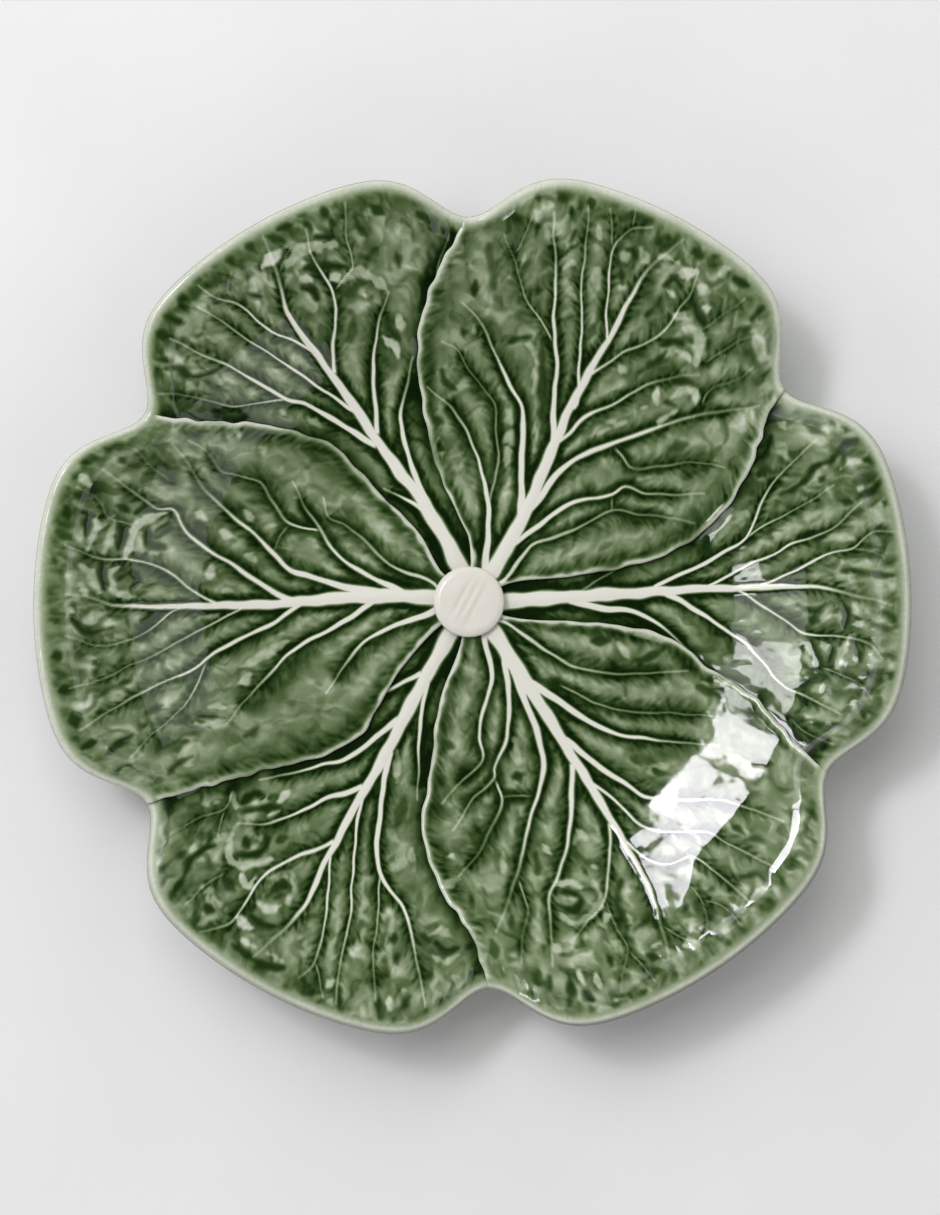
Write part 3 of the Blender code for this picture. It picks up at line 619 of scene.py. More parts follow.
UNDER_LEAF_2 = dict(
    veins=[
        (MIDRIB, [(-2, 9.5), (-13.2, 29.5), (-25, 45), (-36, 61), (-49.8, 80), (-55, 88), (-58, 99),
                  (-62, 110)]),
        (FINE_VEIN, [(-57.5, 99), (-55, 104), (-53.5, 106.5)]),
        (STRONG_VEIN, [(-9, 21), (-13, 30), (-19, 46), (-21, 56), (-20, 62), (-17, 75)]),
        (STRONG_VEIN, [(-28, 50), (-29, 65), (-29, 76), (-28, 83), (-24.5, 94)]),
        (STRONG_VEIN, [(-41, 68), (-41.5, 78), (-40.5, 85), (-41, 93), (-44, 99), (-48, 106), (-49, 112)]),
        (BRANCH_VEIN, [(-41, 94), (-38, 98), (-35, 101.5), (-37, 110), (-37, 120)]),
        (SIDE_VEIN, [(-38, 60), (-43, 64), (-57, 73), (-66, 79), (-72, 83), (-82, 89)]),
        (SIDE_VEIN, [(-46, 75), (-52, 79), (-60, 82), (-70, 90), (-76, 91.5), (-81, 95)]),
        (FINE_VEIN, [(-71, 91), (-72.5, 94), (-71.5, 99)]),
        (STRONG_VEIN, [(-27, 47), (-40, 55), (-50, 60.5), (-56, 62), (-63, 66), (-72, 71), (-90, 79)]),
        (BRANCH_VEIN, [(-55, 62), (-65, 60.3), (-73, 59.3), (-80, 61.5), (-87, 62.6), (-94, 63)]),
        (SIDE_VEIN, [(-17, 30), (-26, 35)]),
        (FINE_VEIN, [(-10, 97), (-9, 103), (-6, 111)]),
    ],
    lumps=[
        (1.7, 0.8, [(-38, 97), (-34, 100), (-29, 98), (-25, 95)]),
        (1.7, 1.0, [(-42, 97.5), (-39, 99)]),
        (1.4, 1.0, [(-50.5, 98), (-48, 97.5)]),
        (2.0, 0.8, [(-55, 101), (-52, 105), (-46, 107), (-40, 108)]),
        (1.8, 1.0, [(-62, 101), (-57, 105.5)]),
        (2.2, 0.5, [(-67, 94), (-62, 98)]),
        (1.7, 1.0, [(-21, 87), (-20.5, 83)]),
        (1.3, 1.0, [(-26, 81), (-22.5, 78), (-21.5, 75)]),
        (1.3, 0.6, [(-31, 119), (-30.5, 116)]),
        (1.6, 0.6, [(-56, 65), (-54, 63)]),
        (1.4, 0.5, [(-59, 58), (-55, 56)]),
        (1.3, 0.6, [(-49, 56), (-46, 54)]),
        (1.6, 0.4, [(-80, 89), (-76, 88)]),
        (1.6, 0.4, [(-82, 81), (-79, 80)]),
        (2.2, 0.5, [(-86, 65), (-75, 67)]),
        (2.4, 0.4, [(-86, 73), (-78, 75)]),
        (1.6, 0.4, [(-33, 115), (-33, 108)]),
        (2.2, 0.4, [(-18, 110), (-22, 114)]),
    ],
    hollows=[
        (1.2, 1.0, [(-51, 100), (-47, 101.5), (-41, 101.5), (-37, 101.5)]),
        (1.2, 1.0, [(-50, 95), (-47, 94), (-46, 92)]),
        (1.5, 0.7, [(-37, 93), (-34, 96), (-31, 97)]),
        (1.0, 1.0, [(-46, 109.8), (-42, 109.8)]),
        (1.0, 0.9, [(-52, 117), (-50, 116.5)]),
        (1.2, 0.9, [(-57, 112), (-53, 113.5)]),
        (1.3, 0.8, [(-61, 110), (-56, 108.5)]),
        (1.3, 0.8, [(-67, 108), (-64, 105)]),
        (1.0, 0.9, [(-67, 93), (-63, 92)]),
        (1.6, 1.0, [(-88, 92.5), (-85, 91)]),
        (1.2, 0.9, [(-92, 86), (-86, 84)]),
        (1.2, 0.9, [(-94, 81), (-89, 79.5)]),
        (1.0, 0.9, [(-94, 73), (-90, 72.5)]),
        (0.9, 0.8, [(-94, 70), (-88, 70.5), (-84, 68), (-79, 69), (-75, 71)]),
        (0.8, 0.8, [(-80, 67), (-77, 65), (-73, 64)]),
        (1.3, 0.9, [(-84, 98.5), (-81, 97)]),
        (1.2, 0.8, [(-78, 103), (-77, 101)]),
        (1.2, 0.7, [(-73, 104), (-71, 102)]),
        (1.0, 0.8, [(-44, 118.5), (-43, 116)]),
        (1.4, 0.9, [(-29, 119), (-26, 117)]),
        (0.8, 0.8, [(-33, 113), (-31, 111)]),
        (1.1, 0.8, [(-22, 105.5), (-21, 102)]),
        (1.6, 0.8, [(-15, 117), (-12, 115), (-10, 112)]),
        (1.2, 0.8, [(-25, 87), (-24, 83), (-21, 80.5)]),
        (2.0, 0.5, [(-45, 84), (-43, 78)]),
        (1.5, 0.5, [(-35, 86), (-36, 80)]),
        (1.0, 0.8, [(-60, 79), (-57, 80)]),
    ],
)

OVER_LEAF_2 = dict(
    veins=[
        (MIDRIB, [(-8, 1.6), (-25, 1.8), (-40, 1.2), (-58, -0.5), (-80, -1.2), (-100, -1.6), (-108, -0.8),
                  (-114, 1.2), (-121, 2.5)]),
        (BRANCH_VEIN, [(-11, 6), (-19, 9), (-25, 12), (-37, 23), (-43, 26), (-45, 32)]),
        (SIDE_VEIN, [(-20, 3), (-33, 9), (-40, 14), (-46, 23), (-51, 30), (-54, 37)]),
        (BRANCH_VEIN, [(-45, 22), (-55, 24), (-60, 31), (-64, 36.5), (-71, 38.7), (-75, 39.5), (-80, 46),
                       (-85, 49)]),
        (FINE_VEIN, [(-55, 24), (-58, 20), (-59.5, 16)]),
        (STRONG_VEIN, [(-29, 3), (-40, 5), (-49, 8), (-55, 10), (-66, 21), (-80, 33.5), (-86, 43),
                       (-90, 48)]),
        (FINE_VEIN, [(-90, 36), (-96, 41), (-101, 46)]),
        (STRONG_VEIN, [(-56, 1), (-65, 6), (-72, 11), (-80, 16), (-86, 21), (-90, 28), (-95, 28.5),
                       (-110, 40)]),
        (FINE_VEIN, [(-101, 22), (-104, 24), (-109, 25.5), (-110, 28), (-113, 31.5), (-118, 34.5)]),
        (SIDE_VEIN, [(-78, 0), (-85, 4), (-90, 8), (-97, 11.5), (-103, 13), (-110, 12.6), (-121, 17)]),
        (SIDE_VEIN, [(-11, -3), (-22, -7), (-28, -10), (-34, -14), (-44, -28)]),
        (SIDE_VEIN, [(-30, 0), (-38, -6), (-46, -10), (-53, -14), (-62, -23), (-74, -37)]),
        (SIDE_VEIN, [(-50, 0), (-62, -7.5), (-77, -15), (-83, -20), (-98, -27), (-106, -31.5),
                     (-117, -38.5)]),
        (BRANCH_VEIN, [(-80, -18), (-83, -25), (-86, -31), (-91, -36), (-96, -40), (-102, -47)]),
        (BRANCH_VEIN, [(-70, -2), (-77, -6), (-84, -9.5), (-97, -17), (-103, -19.5), (-110, -23),
                       (-120, -26)]),
        (BRANCH_VEIN, [(-85, -2), (-90, -3), (-98, -9), (-103, -11.5), (-110, -13.5), (-121, -10.5)]),
    ],
    lumps=[
        (1.4, 0.9, [(-112, 26), (-113, 21), (-114.5, 16)]),
        (1.3, 0.8, [(-107, 26), (-107.5, 21), (-110, 15)]),
        (1.6, 0.8, [(-117, 11), (-114, 8.5), (-111.7, 3)]),
        (1.5, 1.0, [(-92, 27), (-99, 24.5), (-102, 20), (-104, 14)]),
        (1.4, 0.7, [(-100, 22), (-99, 17), (-95, 14.5)]),
        (1.3, 0.9, [(-106, 10.5), (-108.3, 9), (-108.5, 5.5), (-106, 2.5), (-101, 1.5)]),
        (1.2, 0.9, [(-83, 27), (-80, 25)]),
        (1.2, 0.9, [(-76, 21.5), (-72, 20)]),
        (1.3, 0.8, [(-79, 11), (-79.5, 7)]),
        (1.6, 0.9, [(-117, 38), (-114, 35.5)]),
        (1.2, 0.8, [(-117, 5), (-115.5, 2)]),
        (1.4, 0.8, [(-69, 28), (-66, 25)]),
        (1.9, 0.7, [(-68, 14), (-65, 12.5)]),
        (1.1, 0.6, [(-85, -4.5), (-77, -4)]),
        (1.7, 0.7, [(-69, -20), (-62, -15.5), (-56, -12)]),
        (1.6, 0.8, [(-70, -25), (-67, -22.5)]),
        (1.1, 0.8, [(-79, -32), (-75, -32.5)]),
        (1.6, 0.6, [(-83, -37), (-74, -37)]),
        (1.6, 0.6, [(-99, -36), (-97, -39)]),
        (1.2, 0.7, [(-109, -44), (-107, -45)]),
        (2.2, 0.5, [(-117, -2), (-114, -6.5)]),
        (1.8, 0.4, [(-110, -11), (-103, -10)]),
        (1.2, 0.6, [(-75, 3), (-72, 3)]),
        (1.6, 0.4, [(-108, -29), (-104, -28)]),
        (1.4, 0.6, [(-64, 47), (-63, 45)]),
        (1.1, 0.7, [(-70, 53), (-70, 50)]),
        (1.8, 0.5, [(-89, -46), (-84, -41)]),
    ],
    hollows=[
        (1.2, 0.9, [(-121, 28), (-120.5, 25)]),
        (1.1, 1.0, [(-115, 27), (-115.3, 20)]),
        (1.5, 1.0, [(-106, 24), (-105, 20), (-106, 16)]),
        (1.3, 1.0, [(-111, 13), (-110.7, 8), (-110, 4)]),
        (1.1, 1.0, [(-106, 7), (-103, 8.7), (-100.5, 7), (-102, 4.5)]),
        (1.4, 0.8, [(-97, 22), (-97.5, 18), (-93, 17)]),
        (1.0, 0.8, [(-95, 21.5), (-91, 24)]),
        (1.2, 0.9, [(-118, 32), (-115, 31.5)]),
        (1.2, 0.9, [(-106, 29), (-103, 27.5)]),
        (1.2, 0.9, [(-101, 27), (-94, 30)]),
        (0.8, 1.0, [(-119.5, -4), (-118, -7), (-115.5, -9.3), (-108, -8)]),
        (1.3, 0.9, [(-99, -6), (-95, -5)]),
        (0.8, 0.7, [(-104, -5), (-103, -7)]),
        (1.7, 0.8, [(-124, -15), (-123, -17)]),
        (1.5, 0.9, [(-122.5, -27), (-120, -26)]),
        (1.9, 0.8, [(-119, -34), (-118, -37)]),
        (1.1, 1.0, [(-116, -44), (-112, -42)]),
        (1.3, 1.0, [(-109, -46), (-106, -43), (-102, -40.5)]),
        (0.8, 0.8, [(-112, -29), (-108, -26), (-103, -24)]),
        (0.9, 0.8, [(-98, -34), (-93, -31.5)]),
        (1.0, 0.7, [(-105, 43), (-104, 42)]),
        (1.0, 0.7, [(-124.5, 12.5), (-124, 11)]),
        (0.8, 0.6, [(-125, -3.5), (-122, -3.8)]),
        (1.2, 0.7, [(-68, -41), (-65, -39)]),
        (0.9, 0.8, [(-83, -34.3), (-77, -35)]),
        (1.0, 0.7, [(-113, -18), (-112.5, -18.5)]),
        (1.3, 0.6, [(-124, 21), (-119, 18.5)]),
        (1.3, 0.6, [(-84, 37), (-80, 36)]),
        (1.2, 0.7, [(-84, 24), (-80, 22.5)]),
        (1.0, 0.6, [(-125.5, -21), (-121, -22)]),
        (1.2, 0.6, [(-68, 31), (-64, 30)]),
        (0.9, 0.7, [(-91, -52), (-88, -49), (-84, -47)]),
    ],
)

UNDER_LEAF_3 = dict(
    veins=[
        (MIDRIB, [(-4.5, -7.7), (-16.3, -28.8), (-26.8, -49.1), (-34, -61), (-45.3, -82.4), (-49.2, -91.4),
                  (-54.4, -97.6), (-65, -107)]),
        (SIDE_VEIN, [(-13, -21), (-24, -27), (-30, -30)]),
        (STRONG_VEIN, [(-20, -35), (-28, -41), (-37, -48), (-45, -50), (-53, -52), (-64, -54.5)]),
        (STRONG_VEIN, [(-31, -56), (-37, -58.5), (-43, -60), (-50, -63.5), (-57, -66.5), (-63, -68),
                       (-70, -67.5)]),
        (STRONG_VEIN, [(-40, -72), (-45, -75), (-52, -77.5), (-63, -84), (-70, -95), (-73, -97.5),
                       (-81, -99)]),
        (FINE_VEIN, [(-72, -57), (-73, -61), (-75, -63.5), (-82, -65.5), (-90, -70)]),
        (FINE_VEIN, [(-74, -63), (-75.5, -67), (-76, -71)]),
        (FINE_VEIN, [(-73, -82), (-79, -85), (-85, -91)]),
        (SIDE_VEIN, [(-13, -26), (-15, -37), (-15.5, -48), (-16, -61)]),
        (STRONG_VEIN, [(-24, -46), (-26, -55), (-28, -80), (-24, -88), (-20, -93), (-16, -107),
                       (-13, -122)]),
        (BRANCH_VEIN, [(-27, -82), (-27.5, -92), (-28, -100), (-29, -107), (-28, -120)]),
        (SIDE_VEIN, [(-33, -62), (-34.5, -70), (-35.5, -86), (-36, -95), (-38, -104), (-40, -121)]),
        (SIDE_VEIN, [(-42, -76), (-42.5, -84), (-44, -100), (-47, -109.5), (-51, -113)]),
        (FINE_VEIN, [(-46.5, -108), (-45, -113), (-44, -119)]),
    ],
    lumps=[
        (1.2, 0.8, [(-72, -58), (-71, -63)]),
        (1.0, 0.9, [(-67, -61.5), (-63, -61.5), (-61.5, -59)]),
        (1.4, 1.0, [(-58, -61), (-55, -58)]),
        (1.0, 1.0, [(-61, -65), (-58, -64)]),
        (1.4, 0.9, [(-72, -71), (-73, -77), (-70, -79.5), (-64, -79.5), (-60, -78)]),
        (1.1, 0.7, [(-65, -71), (-63, -73)]),
        (1.3, 1.0, [(-69, -83), (-67, -86), (-65, -84)]),
        (1.4, 0.7, [(-61, -84), (-55, -83), (-53, -86), (-55, -91)]),
        (1.3, 1.0, [(-64, -91), (-61, -93), (-57, -92)]),
        (1.8, 1.0, [(-70, -95), (-66, -98)]),
        (1.3, 1.0, [(-68, -102), (-64, -104)]),
        (1.2, 0.7, [(-60, -106), (-56, -108)]),
        (1.9, 0.6, [(-80, -86), (-74, -92)]),
        (1.8, 0.5, [(-85, -60), (-75, -60)]),
        (1.4, 0.5, [(-80, -73), (-76, -72)]),
        (1.4, 0.5, [(-25, -70), (-22, -73)]),
        (1.2, 0.7, [(-17.5, -76), (-17, -79)]),
        (1.2, 0.9, [(-43, -116), (-41, -114)]),
        (1.3, 1.0, [(-24, -122), (-24, -119)]),
        (1.0, 0.7, [(-20, -117.5), (-20, -116.5)]),
        (1.2, 0.7, [(-12, -101), (-8, -100), (-5, -102)]),
        (1.2, 0.7, [(-11, -107), (-7, -109), (-3, -107)]),
        (1.3, 0.5, [(-31.5, -88), (-32, -96), (-33.5, -105)]),
        (1.2, 0.5, [(-24, -97), (-24, -105), (-23, -112)]),
        (1.2, 0.4, [(-40, -90), (-41, -100), (-42, -108)]),
        (1.0, 0.7, [(-22, -46), (-22, -55)]),
        (1.6, 0.4, [(-51, -101), (-50, -106)]),
    ],
    hollows=[
        (1.2, 1.0, [(-69, -61), (-65.5, -58.5), (-63, -59)]),
        (1.1, 0.9, [(-69, -64), (-63, -63.3), (-58, -62.8)]),
        (1.2, 1.0, [(-70, -77), (-66, -77), (-62, -75), (-61, -72)]),
        (1.1, 0.9, [(-68, -72), (-67, -74.5)]),
        (0.9, 0.7, [(-58, -73), (-56, -72)]),
        (1.1, 1.0, [(-89, -88), (-86, -83), (-84, -78), (-80, -74.7), (-77, -74)]),
        (1.4, 0.8, [(-89.5, -89), (-88.5, -87)]),
        (1.3, 0.8, [(-93, -81), (-92, -80)]),
        (1.1, 0.7, [(-88, -77), (-86, -75.5)]),
        (1.9, 0.8, [(-74, -84), (-71, -87)]),
        (1.1, 0.9, [(-79, -92), (-77, -93)]),
        (1.2, 1.0, [(-66, -95), (-62, -97.5), (-57, -98)]),
        (1.0, 0.9, [(-61, -89), (-58, -86.5), (-54, -86.5)]),
        (0.8, 0.7, [(-58.5, -90), (-55.5, -88.5)]),
        (1.2, 0.9, [(-71, -103), (-67, -106), (-62, -109), (-56, -110)]),
        (1.0, 0.6, [(-85, -98), (-78, -98.5), (-74, -97.5)]),
        (0.9, 0.8, [(-46, -113), (-44, -116)]),
        (1.4, 0.5, [(-52, -115), (-47, -117.5)]),
        (0.9, 0.9, [(-39, -116), (-38.7, -123)]),
        (0.9, 0.8, [(-27, -118), (-27, -125)]),
        (1.0, 0.9, [(-22.5, -103), (-22.5, -101.5)]),
        (0.8, 0.8, [(-22, -107), (-21.5, -110)]),
        (1.1, 0.8, [(-20, -122), (-18, -119)]),
        (1.0, 1.0, [(-10, -103.5), (-7, -106), (-3, -105)]),
        (0.8, 0.8, [(-15, -101), (-12, -103)]),
        (1.5, 0.5, [(-20, -60), (-22, -68)]),
    ],
)

OVER_LEAF_3 = dict(
    veins=[
        (MIDRIB, [(5.8, -6.6), (19.8, -28.1), (31.6, -47.3), (42, -64), (51, -80), (55, -87), (58, -98),
                  (60, -107)]),
        (BRANCH_VEIN, [(10, -6), (18, -11), (25, -16), (33, -20), (43, -22), (55, -22), (67, -21)]),
        (FINE_VEIN, [(27, -25), (39, -31), (51, -34), (61, -34), (76, -35)]),
        (STRONG_VEIN, [(19, -25), (27, -30), (34, -35), (41, -39), (47, -41), (55, -42), (63, -43),
                       (76, -44)]),
        (STRONG_VEIN, [(32, -44), (40, -50.5), (47, -55), (54, -59.5), (62, -60.5), (78, -60.5), (86, -63),
                       (95, -66)]),
        (SIDE_VEIN, [(41, -58), (48, -64), (54, -69), (62, -70), (72, -70), (78, -73), (86, -77),
                     (92, -80)]),
        (SIDE_VEIN, [(47, -72), (54, -78), (60, -80), (68, -77.5), (75, -82), (84, -90)]),
        (FINE_VEIN, [(66, -85), (70, -90), (72, -96), (70, -102)]),
        (FINE_VEIN, [(70, -90), (77, -92), (82, -97)]),
        (FINE_VEIN, [(58, -97), (62, -100), (66, -102)]),
        (SIDE_VEIN, [(5, -12), (7, -21), (6, -28), (4, -35), (3, -42), (4, -49), (-2, -55), (-8, -62)]),
        (SIDE_VEIN, [(11, -17), (12, -26), (12, -41), (8, -51), (8, -54), (1, -61), (-5, -70)]),
        (BRANCH_VEIN, [(8, -54), (10, -60), (9, -65), (6, -71), (3, -77), (-3, -84)]),
        (FINE_VEIN, [(20, -59.5), (10, -60)]),
        (STRONG_VEIN, [(14, -21), (18, -32), (22, -44), (23, -52), (19, -66), (15, -82), (12, -91),
                       (8.5, -100)]),
        (BRANCH_VEIN, [(15, -84), (17, -90), (18, -94), (16.5, -101), (16, -109)]),
        (STRONG_VEIN, [(32, -48), (31.5, -60), (30, -74), (28, -82), (24.5, -90), (25, -103),
                       (25.5, -110)]),
        (SIDE_VEIN, [(43, -66), (43, -75), (41.5, -89), (40, -93), (35, -98), (31, -103)]),
        (FINE_VEIN, [(41.5, -90), (43, -95), (46, -101), (48, -105), (46, -112), (45.5, -117)]),
        (FINE_VEIN, [(48, -105), (52, -109), (56, -114)]),
    ],
    lumps=[
        (1.2, 0.9, [(26, -87), (30, -85.5), (34, -87)]),
        (1.4, 0.8, [(27, -94), (32, -97.5), (38, -94), (40, -89), (38, -85)]),
        (1.3, 0.7, [(31, -90), (33, -89)]),
        (1.4, 0.9, [(41, -97), (43, -94.5)]),
        (1.4, 0.8, [(47, -97), (49.5, -95.5)]),
        (1.2, 1.0, [(22.5, -74), (25, -77)]),
        (1.0, 0.7, [(32, -73.5), (34, -70.5), (36, -73)]),
        (0.8, 0.9, [(37, -80.3), (38.5, -81)]),
        (1.2, 1.0, [(-6, -77.8), (-4.5, -77)]),
        (1.2, 0.7, [(10, -77), (10.5, -82)]),
        (1.5, 0.6, [(-8, -87), (-3, -84)]),
        (0.9, 1.0, [(26, -104), (28, -106.5)]),
        (1.3, 1.0, [(33, -112), (34.5, -115)]),
        (1.3, 0.9, [(38, -112), (39, -116)]),
        (1.8, 0.5, [(42, -103), (46, -105)]),
        (1.0, 0.8, [(55, -104), (57, -103)]),
        (1.7, 0.5, [(35, -101), (32, -106)]),
        (1.5, 0.6, [(14, -42), (15, -50)]),
        (1.8, 0.5, [(55, -52), (60, -50)]),
        (1.4, 0.5, [(20, -97), (21, -102)]),
        (1.8, 0.7, [(42, -7), (52, -9), (60, -12)]),
        (1.2, 0.7, [(46, -13), (49, -17)]),
        (1.5, 0.7, [(72, -25), (77, -26), (80, -24)]),
        (1.6, 0.4, [(76, -67), (84, -70)]),
        (1.4, 0.5, [(38, -14), (33, -10)]),
    ],
    hollows=[
        (1.8, 0.9, [(14, -54), (16.5, -53)]),
        (1.1, 1.0, [(29, -88), (34, -90), (32, -94), (28, -92.5)]),
        (1.0, 0.8, [(36, -83), (35, -81.5)]),
        (1.0, 0.8, [(46, -85), (45, -92), (48, -99)]),
        (1.0, 0.8, [(54, -84), (57, -89), (55, -95), (50, -99)]),
        (1.0, 0.8, [(13, -96), (13, -99)]),
        (1.4, 1.0, [(34.5, -117), (37, -119.5)]),
        (1.1, 0.9, [(30, -112), (31, -117), (30, -121)]),
        (1.0, 0.9, [(42, -107), (43, -109)]),
        (0.8, 0.8, [(24.5, -113), (24.5, -117)]),
        (1.3, 0.9, [(54, -106.5), (57, -107)]),
        (1.1, 0.8, [(65, -93), (66, -92)]),
        (1.5, 0.6, [(7, -103), (8, -107)]),
        (1.0, 0.7, [(52, -118), (53, -117)]),
        (0.9, 0.7, [(44, -121.5), (45, -120.5)]),
        (0.8, 0.7, [(81, -68), (83, -70)]),
        (0.9, 0.8, [(82, -83), (87, -82), (90, -85)]),
        (1.1, 0.9, [(87, -49), (92, -49)]),
        (1.0, 0.6, [(73, -87), (74, -86)]),
        (1.5, 0.5, [(50, -48), (57, -49)]),
        (1.0, 0.7, [(20.5, -77), (21, -83)]),
        (1.3, 0.8, [(52, -18), (58, -16), (61, -13)]),
        (1.2, 0.8, [(38, -12), (43, -12)]),
        (1.1, 0.9, [(73, -24), (75, -23.5)]),
        (1.2, 0.6, [(70, -26), (78, -29)]),
        (1.3, 0.6, [(-5, -45), (-8, -43)]),
    ],
)

# Counter-clockwise from the leaf along +X
LEAVES = {
    "under_leaf_1": UNDER_LEAF_1,
    "over_leaf_1": OVER_LEAF_1,
    "under_leaf_2": UNDER_LEAF_2,
    "over_leaf_2": OVER_LEAF_2,
    "under_leaf_3": UNDER_LEAF_3,
    "over_leaf_3": OVER_LEAF_3,
}


# Shader maths

def paint(rgb):
    """Linear colour of an 8-bit one."""
    channels = [c / 255 for c in rgb]
    linear = [c / 12.92 if c <= 0.04045 else ((c + 0.055) / 1.055) ** 2.4 for c in channels]
    return (*linear, 1.0)


def grey(level):
    return (level, level, level, 1.0)


class Wire:
    """An output socket, so that shader maths reads as an expression."""

    def __init__(self, finish, socket):
        self.finish = finish
        self.socket = socket

    def math(self, operation, first, second):
        return self.finish.node("ShaderNodeMath", {"operation": operation}, {0: first, 1: second})

    def __add__(self, other):
        return self.math("ADD", self, other)

    def __sub__(self, other):
        return self.math("SUBTRACT", self, other)

    def __rsub__(self, other):
        return self.math("SUBTRACT", other, self)

    def __mul__(self, other):
        return self.math("MULTIPLY", self, other)

    __radd__ = __add__
    __rmul__ = __mul__


class Finish:
    """A node tree under construction, on a material or on the world."""

    def __init__(self, owner):
        owner.use_nodes = True
        self.owner = owner
        self.tree = owner.node_tree

    def node(self, kind, settings, sockets, output=0):
        """Add a node: its settings first, then the values or links of its sockets."""
        node = self.tree.nodes.new(kind)
        for name, value in settings.items():
            if name == "stops":
                self.set_stops(node.color_ramp, value)
            else:
                setattr(node, name, value)
        for key, value in sockets.items():
            self.feed(node.inputs[key], value)
        return Wire(self, node.outputs[output])

    def feed(self, socket, value):
        if isinstance(value, Wire):
            self.tree.links.new(value.socket, socket)
        else:
            socket.default_value = value

    @staticmethod
    def set_stops(ramp, stops):
        while len(ramp.elements) < len(stops):
            ramp.elements.new(1.0)
        for element, (position, colour) in zip(ramp.elements, stops):
            element.position = position
            element.color = colour

    def shade(self, **sockets):
        """Set the surface shader's sockets, with underscores in place of spaces."""
        shader = self.tree.nodes["Principled BSDF"]
        for name, value in sockets.items():
            self.feed(shader.inputs[name.replace("_", " ")], value)

    def attribute(self, name):
        return self.node("ShaderNodeAttribute", {"attribute_name": name}, {}, "Fac")

    def ramp(self, share, stops):
        return self.node("ShaderNodeValToRGB", {"stops": stops}, {"Fac": share})

    def mottle(self, size, detail=3.0):
        """Soft noise about 0.5, with blotches of a size in millimetres."""
        place = self.node("ShaderNodeTexCoord", {}, {}, "Object")
        scale = 1 / (size * MM)
        return self.node("ShaderNodeTexNoise", {}, {"Vector": place, "Scale": scale, "Detail": detail})

    def blend(self, share, first, second):
        """A colour between two. A Mix node has its colours at sockets 6 and 7 and gives them at 2."""
        sockets = {0: share, 6: first, 7: second}
        return self.node("ShaderNodeMix", {"data_type": "RGBA"}, sockets, 2)

    def bump(self, height, depth):
        """A normal ruffled by a height, whose full range is a depth in millimetres."""
        return self.node("ShaderNodeBump", {}, {"Height": height, "Distance": depth * MM, "Strength": 1.0})


def new_finish(name):
    return Finish(bpy.data.materials.new(name))


def green_glaze():
    """Translucent green glaze: the leaf's relief says how thick it lies, and so how dark it is."""
    finish = new_finish("green_glaze")
    gloss, clouded, dry = GLAZE_ROUGHNESS
    speckle = finish.mottle(size=1.1)
    cloud = finish.mottle(size=9.0)
    thin = finish.attribute("thin")
    thin = thin + (speckle - 0.5) * GLAZE_UNEVENNESS + (cloud - 0.5) * GLAZE_UNEVENNESS
    glaze = finish.ramp(thin, [(position, paint(rgb)) for position, rgb in GLAZE_STOPS])
    # The lip mixes towards the dark lip tone: a little all round, and as painted shade along its outer edge
    # away from the light
    finish.shade(
        Base_Color=finish.blend(finish.attribute("lip"), glaze, paint(DARK_LIP_TONE)),
        Roughness=gloss + cloud * clouded + dry * finish.attribute("matt"),
        IOR=GLAZE_IOR,
        Normal=finish.bump(finish.mottle(size=5.0, detail=1.0), depth=0.03),
    )
    return finish.owner


def cream_glaze():
    """Cream glaze of the cut stem, with painted shade in its grooves and down its sides, and green
    underneath.
    """
    finish = new_finish("cream_glaze")
    gloss, clouded = CREAM_ROUGHNESS
    cloud = finish.mottle(size=4.0)
    thin = finish.attribute("thin") + (cloud - 0.5) * CREAM_UNEVENNESS
    cream = finish.blend(thin, paint(CREAM_SHADE), paint(CREAM))
    finish.shade(
        Base_Color=finish.blend(finish.attribute("under"), cream, paint(UNDERSIDE_GREEN)),
        Roughness=gloss + cloud * clouded,
        IOR=GLAZE_IOR,
        Normal=finish.bump(finish.mottle(size=3.0, detail=1.0), depth=0.02),
    )
    return finish.owner


def foot_finish():
    """Green glaze down the foot's sides, wiped off its tread, where the clay is bare."""
    finish = new_finish("foot_clay")
    speckle = finish.mottle(size=0.8, detail=5.0)
    cloud = finish.mottle(size=6.0)
    glazed = finish.attribute("thin")
    clay = finish.blend(speckle, paint(CLAY_SPECKLE), paint(BARE_CLAY))
    green = finish.blend(cloud, *map(paint, FOOT_GREENS))
    finish.shade(
        Base_Color=finish.blend(glazed, clay, green),
        Roughness=CLAY_ROUGHNESS - glazed * CLAY_GLOSS,
        IOR=CLAY_IOR,
        Normal=finish.bump(speckle, depth=0.05),
    )
    return finish.owner


def floor_finish():
    finish = new_finish("pale_floor")
    cloud = finish.mottle(size=70.0, detail=4.0)
    finish.shade(
        Base_Color=finish.blend(cloud, *map(paint, FLOOR_TONES)),
        Roughness=FLOOR_ROUGHNESS,
    )
    return finish.owner


# Curves and unevenness

def smooth_step(low, high, x):
    """Ease from 0 at low to 1 at high."""
    t = np.clip((x - low) / (high - low), 0, 1)
    return t * t * (3 - 2 * t)


def graded(grade, radius):
    near, added, start, end = grade
    return near + added * smooth_step(start, end, radius)


def bell(x, middle, width):
    """1 at the middle, easing to 0 on both sides."""
    return np.exp(-(((x - middle) / width) ** 2))


def toward(value, goal, share):
    return value + (goal - value) * share


def off_bearing(bearing, place):
    """Degrees round the dish from a place, between -180 and 180."""
    return (bearing - place + 180) % 360 - 180


def near_bearing(bearing, place, half_span, fade):
    """1 at a place round the dish, easing to 0 over two multiples of a half-span."""
    outer, inner = fade
    return smooth_step(outer * half_span, inner * half_span, np.abs(off_bearing(bearing, place)))


